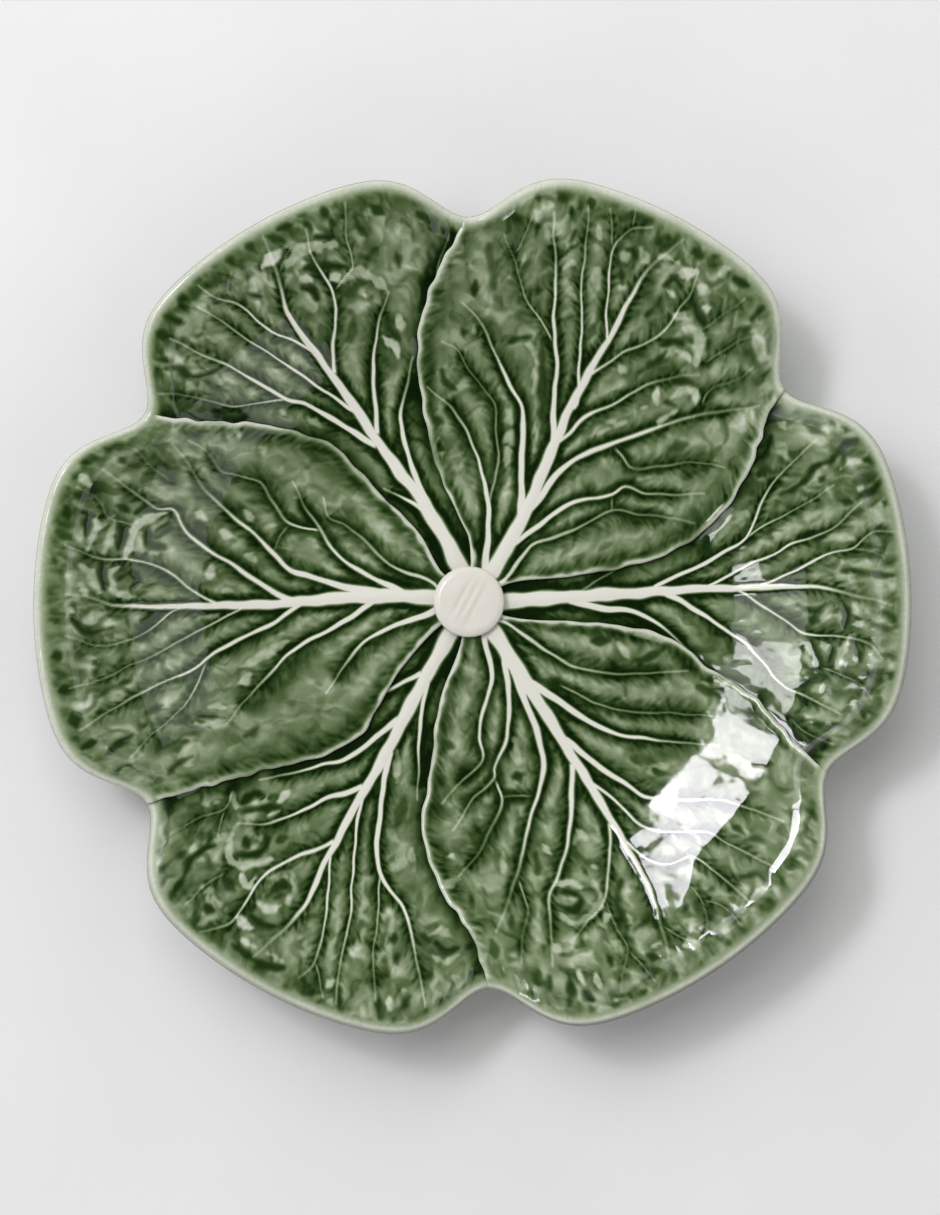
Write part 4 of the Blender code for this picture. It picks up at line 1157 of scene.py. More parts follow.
def smooth_between(knots, x):
    """Values at x of a smooth curve through (x, value) knots, level beyond the first and last."""
    knot_x = np.array([knot[0] for knot in knots], float)
    knot_y = np.array([knot[1] for knot in knots], float)
    last = len(knots) - 1
    before = np.maximum(np.arange(last + 1) - 1, 0)
    after = np.minimum(np.arange(last + 1) + 1, last)
    slopes = (knot_y[after] - knot_y[before]) / (knot_x[after] - knot_x[before])
    x = np.clip(x, knot_x[0], knot_x[-1])
    i = np.clip(np.searchsorted(knot_x, x, side="right") - 1, 0, last - 1)
    span = knot_x[i + 1] - knot_x[i]
    s = (x - knot_x[i]) / span
    ease = s * s * (3 - 2 * s)
    bend = s * (1 - s) * span * (slopes[i] * (1 - s) - slopes[i + 1] * s)
    return knot_y[i] + (knot_y[i + 1] - knot_y[i]) * ease + bend


def ripples(x, y, grain, nth=0):
    """Gradient noise between about -1 and 1, in the nth draw of a grain."""
    size, seed = grain
    lattice = 64
    turns = np.random.RandomState(SEED + seed + nth).uniform(0, 2 * math.pi, (lattice, lattice))
    column, row = x / size, y / size
    left, bottom = np.floor(column).astype(int), np.floor(row).astype(int)
    fx, fy = column - left, row - bottom

    def corner(dx, dy):
        turn = turns[(left + dx) % lattice, (bottom + dy) % lattice]
        return np.cos(turn) * (fx - dx) + np.sin(turn) * (fy - dy)

    ease_x = fx**3 * (fx * (6 * fx - 15) + 10)
    ease_y = fy**3 * (fy * (6 * fy - 15) + 10)
    low = corner(0, 0) * (1 - ease_x) + corner(1, 0) * ease_x
    high = corner(0, 1) * (1 - ease_x) + corner(1, 1) * ease_x
    return 1.5 * (low * (1 - ease_y) + high * ease_y)


def smooth_path(path):
    """Points close together on a smooth curve through a path's own points."""
    knots = np.array(path, float)
    along = np.concatenate(([0], np.cumsum(np.hypot(*np.diff(knots, axis=0).T))))
    places = np.linspace(0, along[-1], max(int(along[-1] / PATH_STEP), 4) + 1)
    return np.stack([smooth_between(list(zip(along, knots[:, k])), places) for k in (0, 1)], axis=1)


def within(path, margin, x, y):
    """Which points in plan lie in the box round a path, with a margin."""
    low, high = path.min(0) - margin, path.max(0) + margin
    return (x > low[0]) & (x < high[0]) & (y > low[1]) & (y < high[1])


def beside_path(path, x, y):
    """Distance from a path, length along it and side of it, for points in plan, and its whole length."""
    distance = np.full(x.shape, np.inf)
    along = np.zeros(x.shape)
    side = np.zeros(x.shape)
    walked = 0.0
    for start, end in zip(path, path[1:]):
        span = end - start
        length = math.hypot(*span)
        ahead = span / length
        from_start = (x - start[0], y - start[1])
        forward = np.clip(from_start[0] * ahead[0] + from_start[1] * ahead[1], 0, length)
        away = np.hypot(from_start[0] - forward * ahead[0], from_start[1] - forward * ahead[1])
        nearer = away < distance
        distance = np.where(nearer, away, distance)
        along = np.where(nearer, walked + forward, along)
        turn = ahead[0] * from_start[1] - ahead[1] * from_start[0]
        side = np.where(nearer, np.sign(turn), side)
        walked += length
    return distance, along, side, walked


# Shape of the dish

def rim_radius(bearing):
    """Radius of the lobed outline at a bearing, from the stem."""
    lobe_radius = RIM_RADIUS + OUTLINE_OFFSET * np.cos(np.radians(bearing - OUTLINE_OFFSET_BEARING))
    notch_depth = sum(depth * bell(off_bearing(bearing, notch), 0, NOTCH_WIDTH) for notch, depth in NOTCHES)
    return lobe_radius - notch_depth - RIM_INSET


def wall_rise(radius):
    """Height of the dish's profile over its flat floor."""
    outward = np.maximum(radius - FLOOR_RADIUS, 0.0)
    arc_reach = WALL_ARC_RADIUS * math.sin(WALL_ANGLE)
    along_arc = np.minimum(outward, arc_reach)
    arc_rise = WALL_ARC_RADIUS - np.sqrt(WALL_ARC_RADIUS**2 - along_arc**2)
    return arc_rise + (outward - along_arc) * math.tan(WALL_ANGLE)


def rim_roll(inset, bearing):
    """How far the rim lies under the straight wall, where the slope eases, here softly and there crisply."""
    off_axis = np.abs(off_bearing(bearing, OUTLINE_OFFSET_BEARING))
    width = ROLL_WIDTH + FAR_ROLL * smooth_step(*FAR_ROLL_BEARINGS, off_axis)
    for place, half_span, soft_width in SOFT_ROLLS:
        width = np.maximum(width, soft_width * near_bearing(bearing, place, half_span, SOFT_ROLL_FADE))
    end = ROLL_INSET - width / 2
    easing = np.clip(end + width - inset, 0.0, width)
    eased = np.maximum(end - inset, 0.0)
    return ROLL_EASE * (easing**2 / (2 * width) + eased)


def lip_pinch(inset):
    """Share of the thickness that the rounded lip has lost, this far in from the rim."""
    along = np.clip(1 - inset / LIP_BAND, 0, 1)
    return LIP_PINCH * (1 - np.sqrt(1 - along**2))


def radius_at(reach, bearing):
    return LEAF_BASE_RADIUS + reach * (rim_radius(bearing) - LEAF_BASE_RADIUS)


def reach_at(radius, bearing):
    return (radius - LEAF_BASE_RADIUS) / (rim_radius(bearing) - LEAF_BASE_RADIUS)


class Leaf:
    """One leaf between two lap lines."""

    def __init__(self, index, over):
        self.index = index
        self.over = over
        self.right = self.lap_knots(LAPS[index - 1])
        self.left = self.lap_knots(LAPS[index])
        if self.left[0][1] < self.right[0][1]:
            self.right = [(reach, bearing - 360) for reach, bearing in self.right]

    @staticmethod
    def lap_knots(lap):
        return [(reach_at(radius, bearing), bearing) for radius, bearing in lap]

    def edges(self, reach):
        """Bearings of the right and left lap lines at a reach, with their slight waver."""
        comes_in, goes_out = LAP_WAVE_REACHES
        fade = smooth_step(*comes_in, reach) * smooth_step(*goes_out, reach)
        bearings = []
        for knots, lap in ((self.right, self.index - 1), (self.left, self.index)):
            bearing = smooth_between(knots, reach)
            phase = LAP_WAVE_PHASE * (lap % len(LAPS))
            waver = 0
            for number, (frequency, share) in enumerate(LAP_WAVES, 1):
                waver = waver + share * np.sin(frequency * reach + number * phase)
            bearings.append(bearing + np.degrees(LAP_WAVE * waver * fade / radius_at(reach, bearing)))
        return bearings

    def lap_lines(self):
        """Points in plan along the leaf's two lap lines."""
        lines = []
        for lap in (LAPS[self.index - 1], LAPS[self.index]):
            turns = [(radius, math.radians(bearing)) for radius, bearing in lap]
            lines.append([(radius * math.cos(turn), radius * math.sin(turn)) for radius, turn in turns])
        return lines

    def side_offsets(self, reach, radius):
        """How far the top and the underside run out past the lap line, with the bevel between."""
        rim_bevel = RIM_BEVEL + BEVEL_PER_INSET * (1 - reach) * RIM_RADIUS
        bevel = np.minimum(np.minimum(LAP_BEVEL, BEVEL_PER_RADIUS * radius), rim_bevel)
        if self.over:
            return 0.0 * bevel, -bevel
        tucked = bevel * LAP_STEP / (LEAF_THICKNESS + LAP_STEP)
        return tucked - JOINT_GAP, bevel - JOINT_GAP

    def sheet(self, reaches, shares, on_top):
        """Bearing, radius, across and distance from the lap for a grid over the leaf's top or underside."""
        reach = reaches[:, None]
        right, left = self.edges(reach)
        side = 0 if on_top else 1
        right_radius = radius_at(reach, right)
        left_radius = radius_at(reach, left)
        right = right - np.degrees(self.side_offsets(reach, right_radius)[side] / right_radius)
        left = left + np.degrees(self.side_offsets(reach, left_radius)[side] / left_radius)
        across = np.broadcast_to(shares[None, :], (len(reaches), len(shares)))
        bearing = right + (left - right) * across
        radius = radius_at(reach, bearing)
        from_lap = np.minimum(across, 1 - across) * np.radians(left - right) * radius
        return bearing, radius, across, from_lap

    def top_height(self, across):
        """Height of the top over the underside. An over leaf is highest along its laps."""
        if not self.over:
            return LEAF_THICKNESS + 0 * across
        from_middle = 2 * across - 1
        return LEAF_THICKNESS + LAP_STEP * (0.5 + 0.5 * from_middle**2)


# Relief of a leaf and the thickness of its glaze

def rooted(points, midrib):
    """A vein's points, begun on the midrib a little nearer the stem, where the vein springs from it."""
    stem_line = smooth_path(midrib)
    away = np.hypot(*(stem_line - np.array(points[0], float)).T)
    nearest = int(np.argmin(away))
    least, most = ROOT_GAP
    if not least < away[nearest] < most:
        return points
    back = int(ROOT_BACK * away[nearest] + 1)
    return [tuple(stem_line[max(nearest - back, 0)])] + list(points)


def edge_spikes(along, beside, side, size, number):
    """Dark spikes that stand on a vein's edges and narrow outwards, 0 to 1."""
    draw = np.random.RandomState(SEED + SPIKE_SEED + number)
    lengths = size * draw.uniform(*SPIKE_LENGTHS, SPIKE_DRAWS)
    shift, draws_apart = SPIKE_SIDE_SHIFT
    place = along / SPIKE_SPACING + shift * side
    spike = np.floor(place).astype(int)
    length = lengths[(spike + draws_apart * side.astype(int)) % SPIKE_DRAWS]
    from_middle = np.abs(place - spike - 0.5)
    blur, widening = SPIKE_BLUR
    return smooth_step(0.0, blur, 0.5 * (1 - beside / length) - from_middle + widening)


def raise_to(field, near, value):
    field[near] = np.maximum(field[near], value)


class VeinRelief:
    """What a leaf's veins give to points in plan.

    Their height and paleness, the dark pool and the soft bed along them, the barbs and spikes that
    feather them, and how near the middle a point lies between its two nearest veins.
    """

    def __init__(self, veins, x, y, radius):
        self.x = x
        self.y = y
        self.radius = radius
        self.height = np.zeros(x.shape)
        self.pale = np.zeros(x.shape)
        self.pool = np.zeros(x.shape)
        self.spikes = np.zeros(x.shape)
        self.barbs = np.zeros(x.shape)
        self.weight = np.full(x.shape, TINY)
        self.nearest = np.full(x.shape, VEIN_MARGIN)
        self.second = np.full(x.shape, VEIN_MARGIN)
        self.jitter = BARB_JITTER * ripples(x, y, BARB_JITTER_GRAIN)
        self.swelling = 1 + VEIN_SWELLING * ripples(x, y, VEIN_SWELLING_GRAIN)
        across, up = VEIN_WAVER_GRAINS
        self.waver_x = x + VEIN_WAVER * ripples(x, y, across)
        self.waver_y = y + VEIN_WAVER * ripples(x, y, up)
        midrib = veins[0][1]
        for number, (kind, points) in enumerate(veins):
            self.add(number, kind, points, midrib)
        gap = self.nearest + self.second
        self.middle = 2 * self.nearest / (gap + TINY) * smooth_step(*NARROW_GAP, gap)
        self.barbs = self.barbs / self.weight * smooth_step(*BARB_REACH, self.nearest)
        self.bed = bell(self.nearest, 0, VEIN_BED) * graded(FAR_FLATTENING, radius)

    def add(self, number, kind, points, midrib):
        path = smooth_path(points if number == 0 else rooted(points, midrib))
        near = within(path, VEIN_MARGIN, self.x, self.y)
        away, along, side, length = beside_path(path, self.waver_x[near], self.waver_y[near])
        share = along / length
        sprout = 1.0 if number == 0 else smooth_step(0.0, SPROUT, along)
        half_width = self.half_width(number, kind, points, share)
        crown = np.exp(-CROWN_SHARPNESS * (away / (half_width + CROWN_EASE)) ** 2)
        raise_to(self.height, near, self.proud(number, kind, half_width, near) * sprout * crown)
        half_width = half_width * self.swelling[near]
        softness = VEIN_SOFTNESS[0] + VEIN_SOFTNESS[1] * half_width
        inside = half_width - VEIN_INNER_SOFTNESS * softness
        on_vein = sprout * smooth_step(half_width + softness, inside, away)
        paleness = toward(*kind["pale"], smooth_step(*kind["fade"], share))
        raise_to(self.pale, near, paleness * on_vein)
        beside = np.maximum(away - half_width, 0)
        from_tip = smooth_step(*VEIN_TIP, share)
        leaning = along - BARB_LEAN * away + self.jitter[near] + VEIN_SHIFT * number
        outward = away * BARB_SIZE / BARB_LENGTH + SIDE_SHIFT * side
        barb = ripples(leaning, outward, BARB_GRAIN, number)
        weight = np.exp(-away / BARB_WEIGHT[0]) * (BARB_WEIGHT[1] + from_tip)
        self.barbs[near] += weight * barb
        self.weight[near] += weight
        depth = from_tip * self.pool_depth(number, kind, along, side, near)
        raise_to(self.pool, near, depth * self.pool_cover(kind, barb, beside, near))
        raise_to(self.spikes, near, from_tip * edge_spikes(leaning, beside, side, kind["barb"], number))
        gap = beside + VEIN_MARGIN * (1 - from_tip)
        self.second[near] = np.minimum(self.second[near], np.maximum(self.nearest[near], gap))
        self.nearest[near] = np.minimum(self.nearest[near], gap)

    @staticmethod
    def half_width(number, kind, points, share):
        """Half-width along a vein. One that springs far out from the midrib is slimmer."""
        base, tip = kind["widths"]
        if number > 0:
            most, per_radius, least = ROOT_SLIMMING
            base = base * min(max(most - math.hypot(*points[0]) / per_radius, least), 1.0)
        return tip + max(base - tip, 0) * (1 - share) ** kind["taper"]

    def proud(self, number, kind, half_width, near):
        """How far a vein's crown stands over the blade. All but the midrib flatten on the wall."""
        if kind is LAP_EDGE:
            return 0.0
        proud = VEIN_PROUD[0] * half_width ** VEIN_PROUD[1]
        return proud if number == 0 else proud * graded(FAR_FLATTENING, self.radius[near])

    def pool_depth(self, number, kind, along, side, near):
        """How deep the glaze is pooled beside a vein, in patches along it."""
        vein_shift, side_shift = POOL_PATCH_SHIFTS
        patches = ripples(along + vein_shift * number, side_shift * side, POOL_PATCH_GRAIN)
        patchy = np.clip(POOL_PATCHES[0] + POOL_PATCHES[1] * patches, *POOL_PATCH_LIMITS)
        depth = POOL_SHARE[0] + POOL_SHARE[1] * kind["pool"]
        return depth * graded(POOL_FADING, self.radius[near]) * patchy

    def pool_cover(self, kind, barb, beside, near):
        """Where the pool lies beside a vein, with a fringe along the barbs."""
        plain, with_pool, near_stem = POOL_SPREAD
        by_stem = np.exp(-self.radius[near] / POOL_SPREAD_RADIUS)
        spread = plain + with_pool * kind["pool"] + near_stem * kind["pool"] * by_stem
        fringe = spread * (1.0 + POOL_FRINGE * np.clip(barb, *POOL_FRINGE_LIMITS))
        outer, blur, inner = POOL_EDGES
        return smooth_step(outer * fringe + blur, inner * fringe, beside)


def strokes_over(strokes, x, y, fade):
    """How strongly points in plan are covered by a blade's pressed strokes, which fade at the edge."""
    cover = np.zeros(x.shape)
    waver = STROKE_WAVER * ripples(x, y, STROKE_GRAIN)
    for half_width, strength, points in strokes:
        path = smooth_path(points)
        near = within(path, half_width + fade + STROKE_WAVER, x, y)
        away, along, _, length = beside_path(path, x[near], y[near])
        width = half_width * (1 - STROKE_TAPER * (2 * along / length - 1) ** 2)
        edge = smooth_step(width + fade, width - fade, away + waver[near])
        raise_to(cover, near, strength * edge)
    return cover


def pucker_drift(x, y, grains):
    return sum(drift * ripples(x, y, grain) for drift, grain in zip(PUCKER_DRIFTS, grains))


def pucker_relief(leaf, x, y):
    """Puckers between the veins: soft blotches, small crumbs, crisp pits and folds."""
    bearing = math.radians(sum(leaf.edges(np.array(PUCKER_REACH))) / 2)
    ahead = x * math.cos(bearing) + y * math.sin(bearing) + pucker_drift(x, y, DRIFT_GRAINS_AHEAD)
    sideways = y * math.cos(bearing) - x * math.sin(bearing) + pucker_drift(x, y, DRIFT_GRAINS_SIDEWAYS)

    def puckers(stretch, size, seed):
        return ripples(ahead * stretch, sideways, (size, seed), leaf.index)

    blotch = puckers(*BLOTCHES)
    crumb = puckers(*CRUMBS)
    pits = smooth_step(*PIT_EDGE, puckers(*PITS))
    fold = np.abs(puckers(*FOLDS))
    lively = smooth_step(*LIVELY_EDGE, ripples(x, y, LIVELY_GRAIN, leaf.index))
    pale, crest, far, near = FOLD_CREST
    folds = lively * (pale * smooth_step(far, near, np.abs(fold - crest)) - smooth_step(*FOLD_CREASE, fold))
    return blotch, crumb, pits, folds


class LeafTop:
    """The points over a leaf's top, with the veins, puckers and pressed strokes that lie there."""

    def __init__(self, leaf, dressing, bearing, radius, from_lap):
        self.leaf = leaf
        self.dressing = dressing
        self.bearing = bearing
        self.radius = radius
        self.from_lap = from_lap
        angle = np.radians(bearing)
        self.x = radius * np.cos(angle)
        self.y = radius * np.sin(angle)
        self.inset = rim_radius(bearing) - radius
        self.blade = smooth_step(*BLADE_INSETS, self.inset) * smooth_step(*BLADE_RADII, radius)
        veins = list(dressing["veins"])
        if leaf.over:
            veins += [(LAP_EDGE, line) for line in leaf.lap_lines()]
        self.veins = VeinRelief(veins, self.x, self.y, radius)
        self.blotch, self.crumb, self.pits, self.folds = pucker_relief(leaf, self.x, self.y)
        self.smooth = np.zeros(bearing.shape)
        for place, half_span, _ in SOFT_ROLLS:
            self.smooth = np.maximum(self.smooth, near_bearing(bearing, place, half_span, SMOOTH_FADE))
        self.edge = self.worn_edge() if leaf.over else self.tuck()

    def ripples(self, grain):
        return ripples(self.x, self.y, grain)

    def strokes(self, kind, fade):
        return strokes_over(self.dressing[kind], self.x, self.y, fade)

    def worn_edge(self):
        """Where an over leaf's edge is worn pale, ragged near the stem."""
        width = graded(EDGE_WIDTH, self.radius)
        tooth = EDGE_TOOTH * self.ripples(EDGE_TOOTH_GRAIN) * smooth_step(*EDGE_TOOTH_RADII, self.radius)
        return bell(np.maximum(self.from_lap - EDGE_FULL * width - tooth, 0), 0, EDGE_FADE * width)

    def tuck(self):
        """Where an under leaf dips beside the leaf that laps it."""
        width, power = TUCK_FADE
        beyond = np.maximum(self.from_lap - TUCK_WIDTH, 0) / width
        return np.exp(-(beyond**power)) * smooth_step(*TUCK_INSETS, self.inset)

    def lumps(self):
        """Where the pale lumps lie: weak ones are broken up by the crumbs."""
        lumps = self.strokes("lumps", LUMP_FADE)
        ragged = smooth_step(*RAGGED_EDGE, self.crumb + RAGGED_BLOTCHES * self.blotch)
        return lumps * (ragged + (1 - ragged) * smooth_step(*WHOLE_LUMP, lumps))

    def levelled(self):
        """Where the glaze has flowed level over the relief."""
        place_x, place_y = LEVEL_GLAZE["middle"]
        lie = math.radians(LEVEL_GLAZE["bearing"])
        lengthways = (self.x - place_x) * math.cos(lie) + (self.y - place_y) * math.sin(lie)
        crossways = (self.y - place_y) * math.cos(lie) - (self.x - place_x) * math.sin(lie)
        length_share = lengthways / LEVEL_GLAZE["half_length"]
        width_share = crossways / LEVEL_GLAZE["half_width"]
        return np.exp(-(length_share**4) - width_share**4)

    def swell(self):
        off_window = off_bearing(self.bearing, 0)
        comes_in, goes_out = DRIFT_BEARINGS
        drift = SWELL_DRIFT * smooth_step(*comes_in, off_window) * smooth_step(*goes_out, off_window)
        return smooth_between(WALL_SWELL, self.radius - drift) + SWELL_UNEVENNESS * self.ripples(SWELL_GRAIN)

    def ribs(self):
        grain = ripples(self.bearing * DEGREE_AT_RIM, self.inset * RIB_STRETCH, RIB_GRAIN)
        return RIB_HEIGHT * (1 - self.smooth) * grain * bell(self.inset, *RIB_BAND)

    def relief(self):
        """Height of the dressed top over the plain one."""
        level = self.levelled()
        veins = self.veins.height * (1 - LEVEL_VEINS * level)
        raised = LUMP_HEIGHT * self.strokes("lumps", STROKE_SLOPE)
        sunk = HOLLOW_DEPTH * self.strokes("hollows", STROKE_SLOPE)
        dents = (BLOTCH_HEIGHT * self.blotch + raised - sunk) * self.blade - BED_DEPTH * self.veins.bed
        relief = dents * (1 - LEVEL_DENTS * level) + self.swell() * self.blade + self.ribs()
        if self.leaf.over:
            rounding = np.clip(1 - self.from_lap / EDGE_ROUND, 0, 1)
            rounded = EDGE_ROUND * (1 - np.sqrt(1 - EDGE_ROUND_SHARE * rounding**2))
            relief = relief * smooth_step(*EDGE_DENTS, self.from_lap) + EDGE_BEAD * self.edge - rounded
            veins = veins * smooth_step(*EDGE_VEINS, self.from_lap)
        else:
            relief = relief * smooth_step(*TUCK_DENTS, self.from_lap) - TUCK_DEPTH * self.edge
        return (relief + veins) * smooth_step(*LIP_RELIEF, self.inset)

    def thinness(self):
        """How thin the glaze lies, from pools and pits to ridges, lumps, lap edges, lip and veins, with
        painted shade inside the rim and on the lip's last edge.
        """
        thin = self.thinness_on_strokes(self.thinness_on_blade())
        if self.leaf.over:
            wear = EDGE_WEAR[0] + EDGE_WEAR[1] * self.ripples(EDGE_WEAR_GRAIN)
            wear = np.maximum(wear.clip(LEAST_WEAR, 1), smooth_step(*FULL_WEAR_RADII, self.radius))
            thin = toward(thin, EDGE_THIN, self.edge * wear)
        else:
            thin = thin - TUCK_POOL * self.edge
        thin = np.clip(thin, *BLADE_LIMITS)
        for goal, start, full in (LIP_PLAIN, LIP_THIN):
            thin = toward(thin, goal, smooth_step(start, full, self.inset))
        thin = toward(thin, 1.0, self.veins.pale * smooth_step(*LIP_VEINS, self.inset))
        # Painted shade: a dark line along the lip's very edge
        dark, start, full = LIP_LINE
        return np.clip(thin - dark * smooth_step(start, full, self.inset), 0, 1)

    def thinness_on_blade(self):
        ridge = smooth_step(*RIDGE_MIDDLE, self.veins.middle + RIDGE_BARBS * self.veins.barbs) - 0.5
        ridge = RIDGE_SHADE * ridge * graded(RIDGE_FADING, self.radius)
        mottle = graded(BLOTCH_SHADE, self.radius) * np.tanh(BLOTCH_CRISPNESS * self.blotch)
        mottle = mottle + CRUMB_SHADE * self.crumb - graded(PIT_SHADE, self.radius) * self.pits
        mottle = mottle + graded(FOLD_SHADE, self.radius) * self.folds
        pools = graded(POOL_DEPTH, self.radius) * self.veins.pool
        spikes = graded(SPIKE_DEPTH, self.radius) * self.veins.spikes
        on_blade = ridge + mottle + BARB_SHADE * self.veins.barbs - pools - spikes
        return smooth_between(GROUND, self.radius) + on_blade * self.blade - self.stem_pools_dashes_and_rim_shade()

    def stem_pools_dashes_and_rim_shade(self):
        """How much darker the glaze is round the stem and in dashes inside the rim, with painted shade inside
        the rim on its shady side.
        """
        dark, middle, width = STEM_POOL
        pools = dark * bell(self.radius, middle, width)
        round_rim = self.bearing * DEGREE_AT_RIM + DASH_CRUMBS * self.crumb
        inward = self.inset * DASH_STRETCH + DASH_BLOTCHES * self.blotch
        dashes = np.clip(DASH_CONTRAST * ripples(round_rim, inward, DASH_GRAIN, self.leaf.index), 0, 1)
        dark, middle, width = RIM_DASHES
        pools = pools + dark * dashes * bell(self.inset, middle, width)
        # Painted shade: a dark band inside the rim, darkest where the wall faces away from the light
        dark, middle, width = RIM_SHADE
        shady = 0.5 + 0.5 * np.cos(np.radians(self.bearing - RIM_SHADE_BEARING))
        return pools + dark * shady * bell(self.inset, middle, width)

    def thinness_on_strokes(self, thin):
        lumps = self.lumps()
        reach, dark = LUMP_POOL
        thin = thin - dark * np.clip(self.strokes("lumps", reach) - lumps, 0, 1) * self.blade
        thin = toward(thin, LUMP_THIN + LUMP_CRUMBS * self.crumb, lumps)
        return toward(thin, HOLLOW_THIN, self.strokes("hollows", HOLLOW_FADE))

    def dryness(self):
        """How matt the glaze is: on the crease, beside some notches and on worn edges near the stem."""
        matt = np.zeros(self.bearing.shape)
        for place, half_span, middle, reach in MATT_PLACES:
            band = np.exp(-(((self.inset - middle) / reach) ** 4))
            matt = np.maximum(matt, near_bearing(self.bearing, place, half_span, MATT_FADE) * band)
        matt = matt * (1 - self.smooth)
        if not self.leaf.over:
            return matt
        dry_edge = bell(self.from_lap, 0, DRY_EDGE) * smooth_step(*DRY_EDGE_RADII, self.radius)
        return np.maximum(matt, dry_edge)

    def lip_greying_and_shade(self):
        """How far the lip is greyed all round, with painted shade along its outer edge away from the light.
        """
        bare, start, full = LIP_GREYING
        all_round = bare * smooth_step(start, full, self.inset)
        # Painted shade along the lip's outer edge, strongest on the side away from the light
        bare, start, full = LIP_EDGE_SHADE
        across_from = 0.5 - 0.5 * np.cos(np.radians(self.bearing - LIP_LIGHT_BEARING))
        on_edge = bare * across_from**LIP_EDGE_SHADE_POWER * smooth_step(start, full, self.inset)
        return np.maximum(all_round, on_edge)


# Meshes

def underside_coats(bearing, radius, inset):
    thinner, start, full = UNDERSIDE_RIM
    thin = UNDERSIDE_THIN + UNDERSIDE_UNEVENNESS * ripples(bearing, radius, UNDERSIDE_GRAIN)
    thin = thin + thinner * smooth_step(start, full, inset)
    return {"thin": thin, "matt": np.full(bearing.shape, UNDERSIDE_MATT), "lip": np.zeros(bearing.shape)}


def leaf_sheets(leaf, dressing):
    """Grids of points over a leaf's top and underside, each with what its glaze is like there."""
    blade_end = 1 - LIP_BAND / RIM_RADIUS
    blade = np.linspace(0, blade_end, TOP_ROWS - LIP_ROWS, endpoint=False)
    lip = blade_end + (1 - blade_end) * np.sin(np.linspace(0, math.pi / 2, LIP_ROWS + 1))
    reaches = np.concatenate((blade, lip))
    shares = np.linspace(0, 1, TOP_COLUMNS + 1)
    sheets = []
    for on_top, step in ((True, 1), (False, UNDERSIDE_STEP)):
        bearing, radius, across, from_lap = leaf.sheet(reaches[::step], shares[::step], on_top)
        inset = rim_radius(bearing) - radius
        thickness = leaf.top_height(across)
        pinch = lip_pinch(inset)
        if on_top:
            top = LeafTop(leaf, dressing, bearing, radius, from_lap)
            height = thickness * (1 - pinch / 2) + top.relief()
            # lip: the lip's slight greying all round and its painted edge shade
            coats = {"thin": top.thinness(), "matt": top.dryness(), "lip": top.lip_greying_and_shade()}
        else:
            height = thickness * pinch / 2
            coats = underside_coats(bearing, radius, inset)
        angle = np.radians(bearing)
        z = FOOT_HEIGHT + wall_rise(radius) - rim_roll(inset, bearing) + height
        points = np.stack((radius * np.cos(angle), radius * np.sin(angle), z), axis=-1)
        sheets.append((points, coats))
    return sheets


def ring_of(rows, columns, first):
    """Indices of a sheet's boundary, once round from its first corner."""
    grid = first + np.arange(rows * columns).reshape(rows, columns)
    return np.concatenate((grid[0, :-1], grid[:-1, -1], grid[-1, :0:-1], grid[:0:-1, 0])).tolist()


def sheet_quads(rows, columns, first, upward):
    grid = first + np.arange(rows * columns).reshape(rows, columns)
    corners = (grid[:-1, :-1], grid[1:, :-1], grid[1:, 1:], grid[:-1, 1:])
    quads = np.stack([corner.ravel() for corner in corners], axis=1)
    return (quads if upward else quads[:, ::-1]).tolist()


def wall_triangles(fine_ring, coarse_ring):
    """Close the gap between a fine and a coarse boundary with fans of triangles."""
    step = len(fine_ring) // len(coarse_ring)
    middle = step // 2
    triangles = []
    for k, start in enumerate(coarse_ring):
        end = coarse_ring[(k + 1) % len(coarse_ring)]
        fine = [fine_ring[(k * step + i) % len(fine_ring)] for i in range(step + 1)]
        for i in range(step):
            triangles.append((fine[i], fine[i + 1], start if i < middle else end))
        triangles.append((start, fine[middle], end))
    return triangles


def turned_mesh(profile, sides, closed=False):
    """Points and faces of a (radius, height) profile turned round the stem's axis."""
    turns = np.radians(np.arange(sides) * 360 / sides)
    rings = [np.stack((r * np.cos(turns), r * np.sin(turns), np.full(sides, z)), axis=1) for r, z in profile]
    faces = []
    for ring in range(len(profile) if closed else len(profile) - 1):
        low = ring * sides
        high = (ring + 1) % len(profile) * sides
        for side in range(sides):
            beside = (side + 1) % sides
            faces.append((low + side, high + side, high + beside, low + beside))
    return np.concatenate(rings), faces


def add_piece(name, points, faces, coats, material, node):
    """A named mesh piece that stands for one node of the dish, with what its glaze is like at each point."""
    mesh = bpy.data.meshes.new(name)
    place = np.array((STEM_PLACE.x, STEM_PLACE.y, 0))
    mesh.from_pydata((points * MM + place).tolist(), [], faces)
    for coat, amount in coats.items():
        mesh.attributes.new(coat, "FLOAT", "POINT").data.foreach_set("value", amount.astype(np.float32))
    mesh.materials.append(material)
    mesh.shade_smooth()
    mesh.set_sharp_from_angle(angle=CREASE_ANGLE)
    piece = bpy.data.objects.new(name, mesh)
    bpy.context.scene.collection.objects.link(piece)
    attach(piece, "root")
    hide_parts(node)


# Pieces

def make_leaf(name, index, dressing, material):
    """A leaf: its fine top, its coarser underside and the walls between them."""
    leaf = Leaf(index, name.startswith("over"))
    (top, top_coats), (underside, under_coats) = leaf_sheets(leaf, dressing)
    first_under = top.shape[0] * top.shape[1]
    points = np.concatenate((top.reshape(-1, 3), underside.reshape(-1, 3)))
    coats = {coat: np.concatenate((top_coats[coat].ravel(), under_coats[coat].ravel())) for coat in top_coats}
    faces = sheet_quads(*top.shape[:2], 0, True)
    faces += sheet_quads(*underside.shape[:2], first_under, False)
    faces += wall_triangles(ring_of(*top.shape[:2], 0), ring_of(*underside.shape[:2], first_under))
    add_piece(f"{name}_blade", points, faces, coats, material, name)


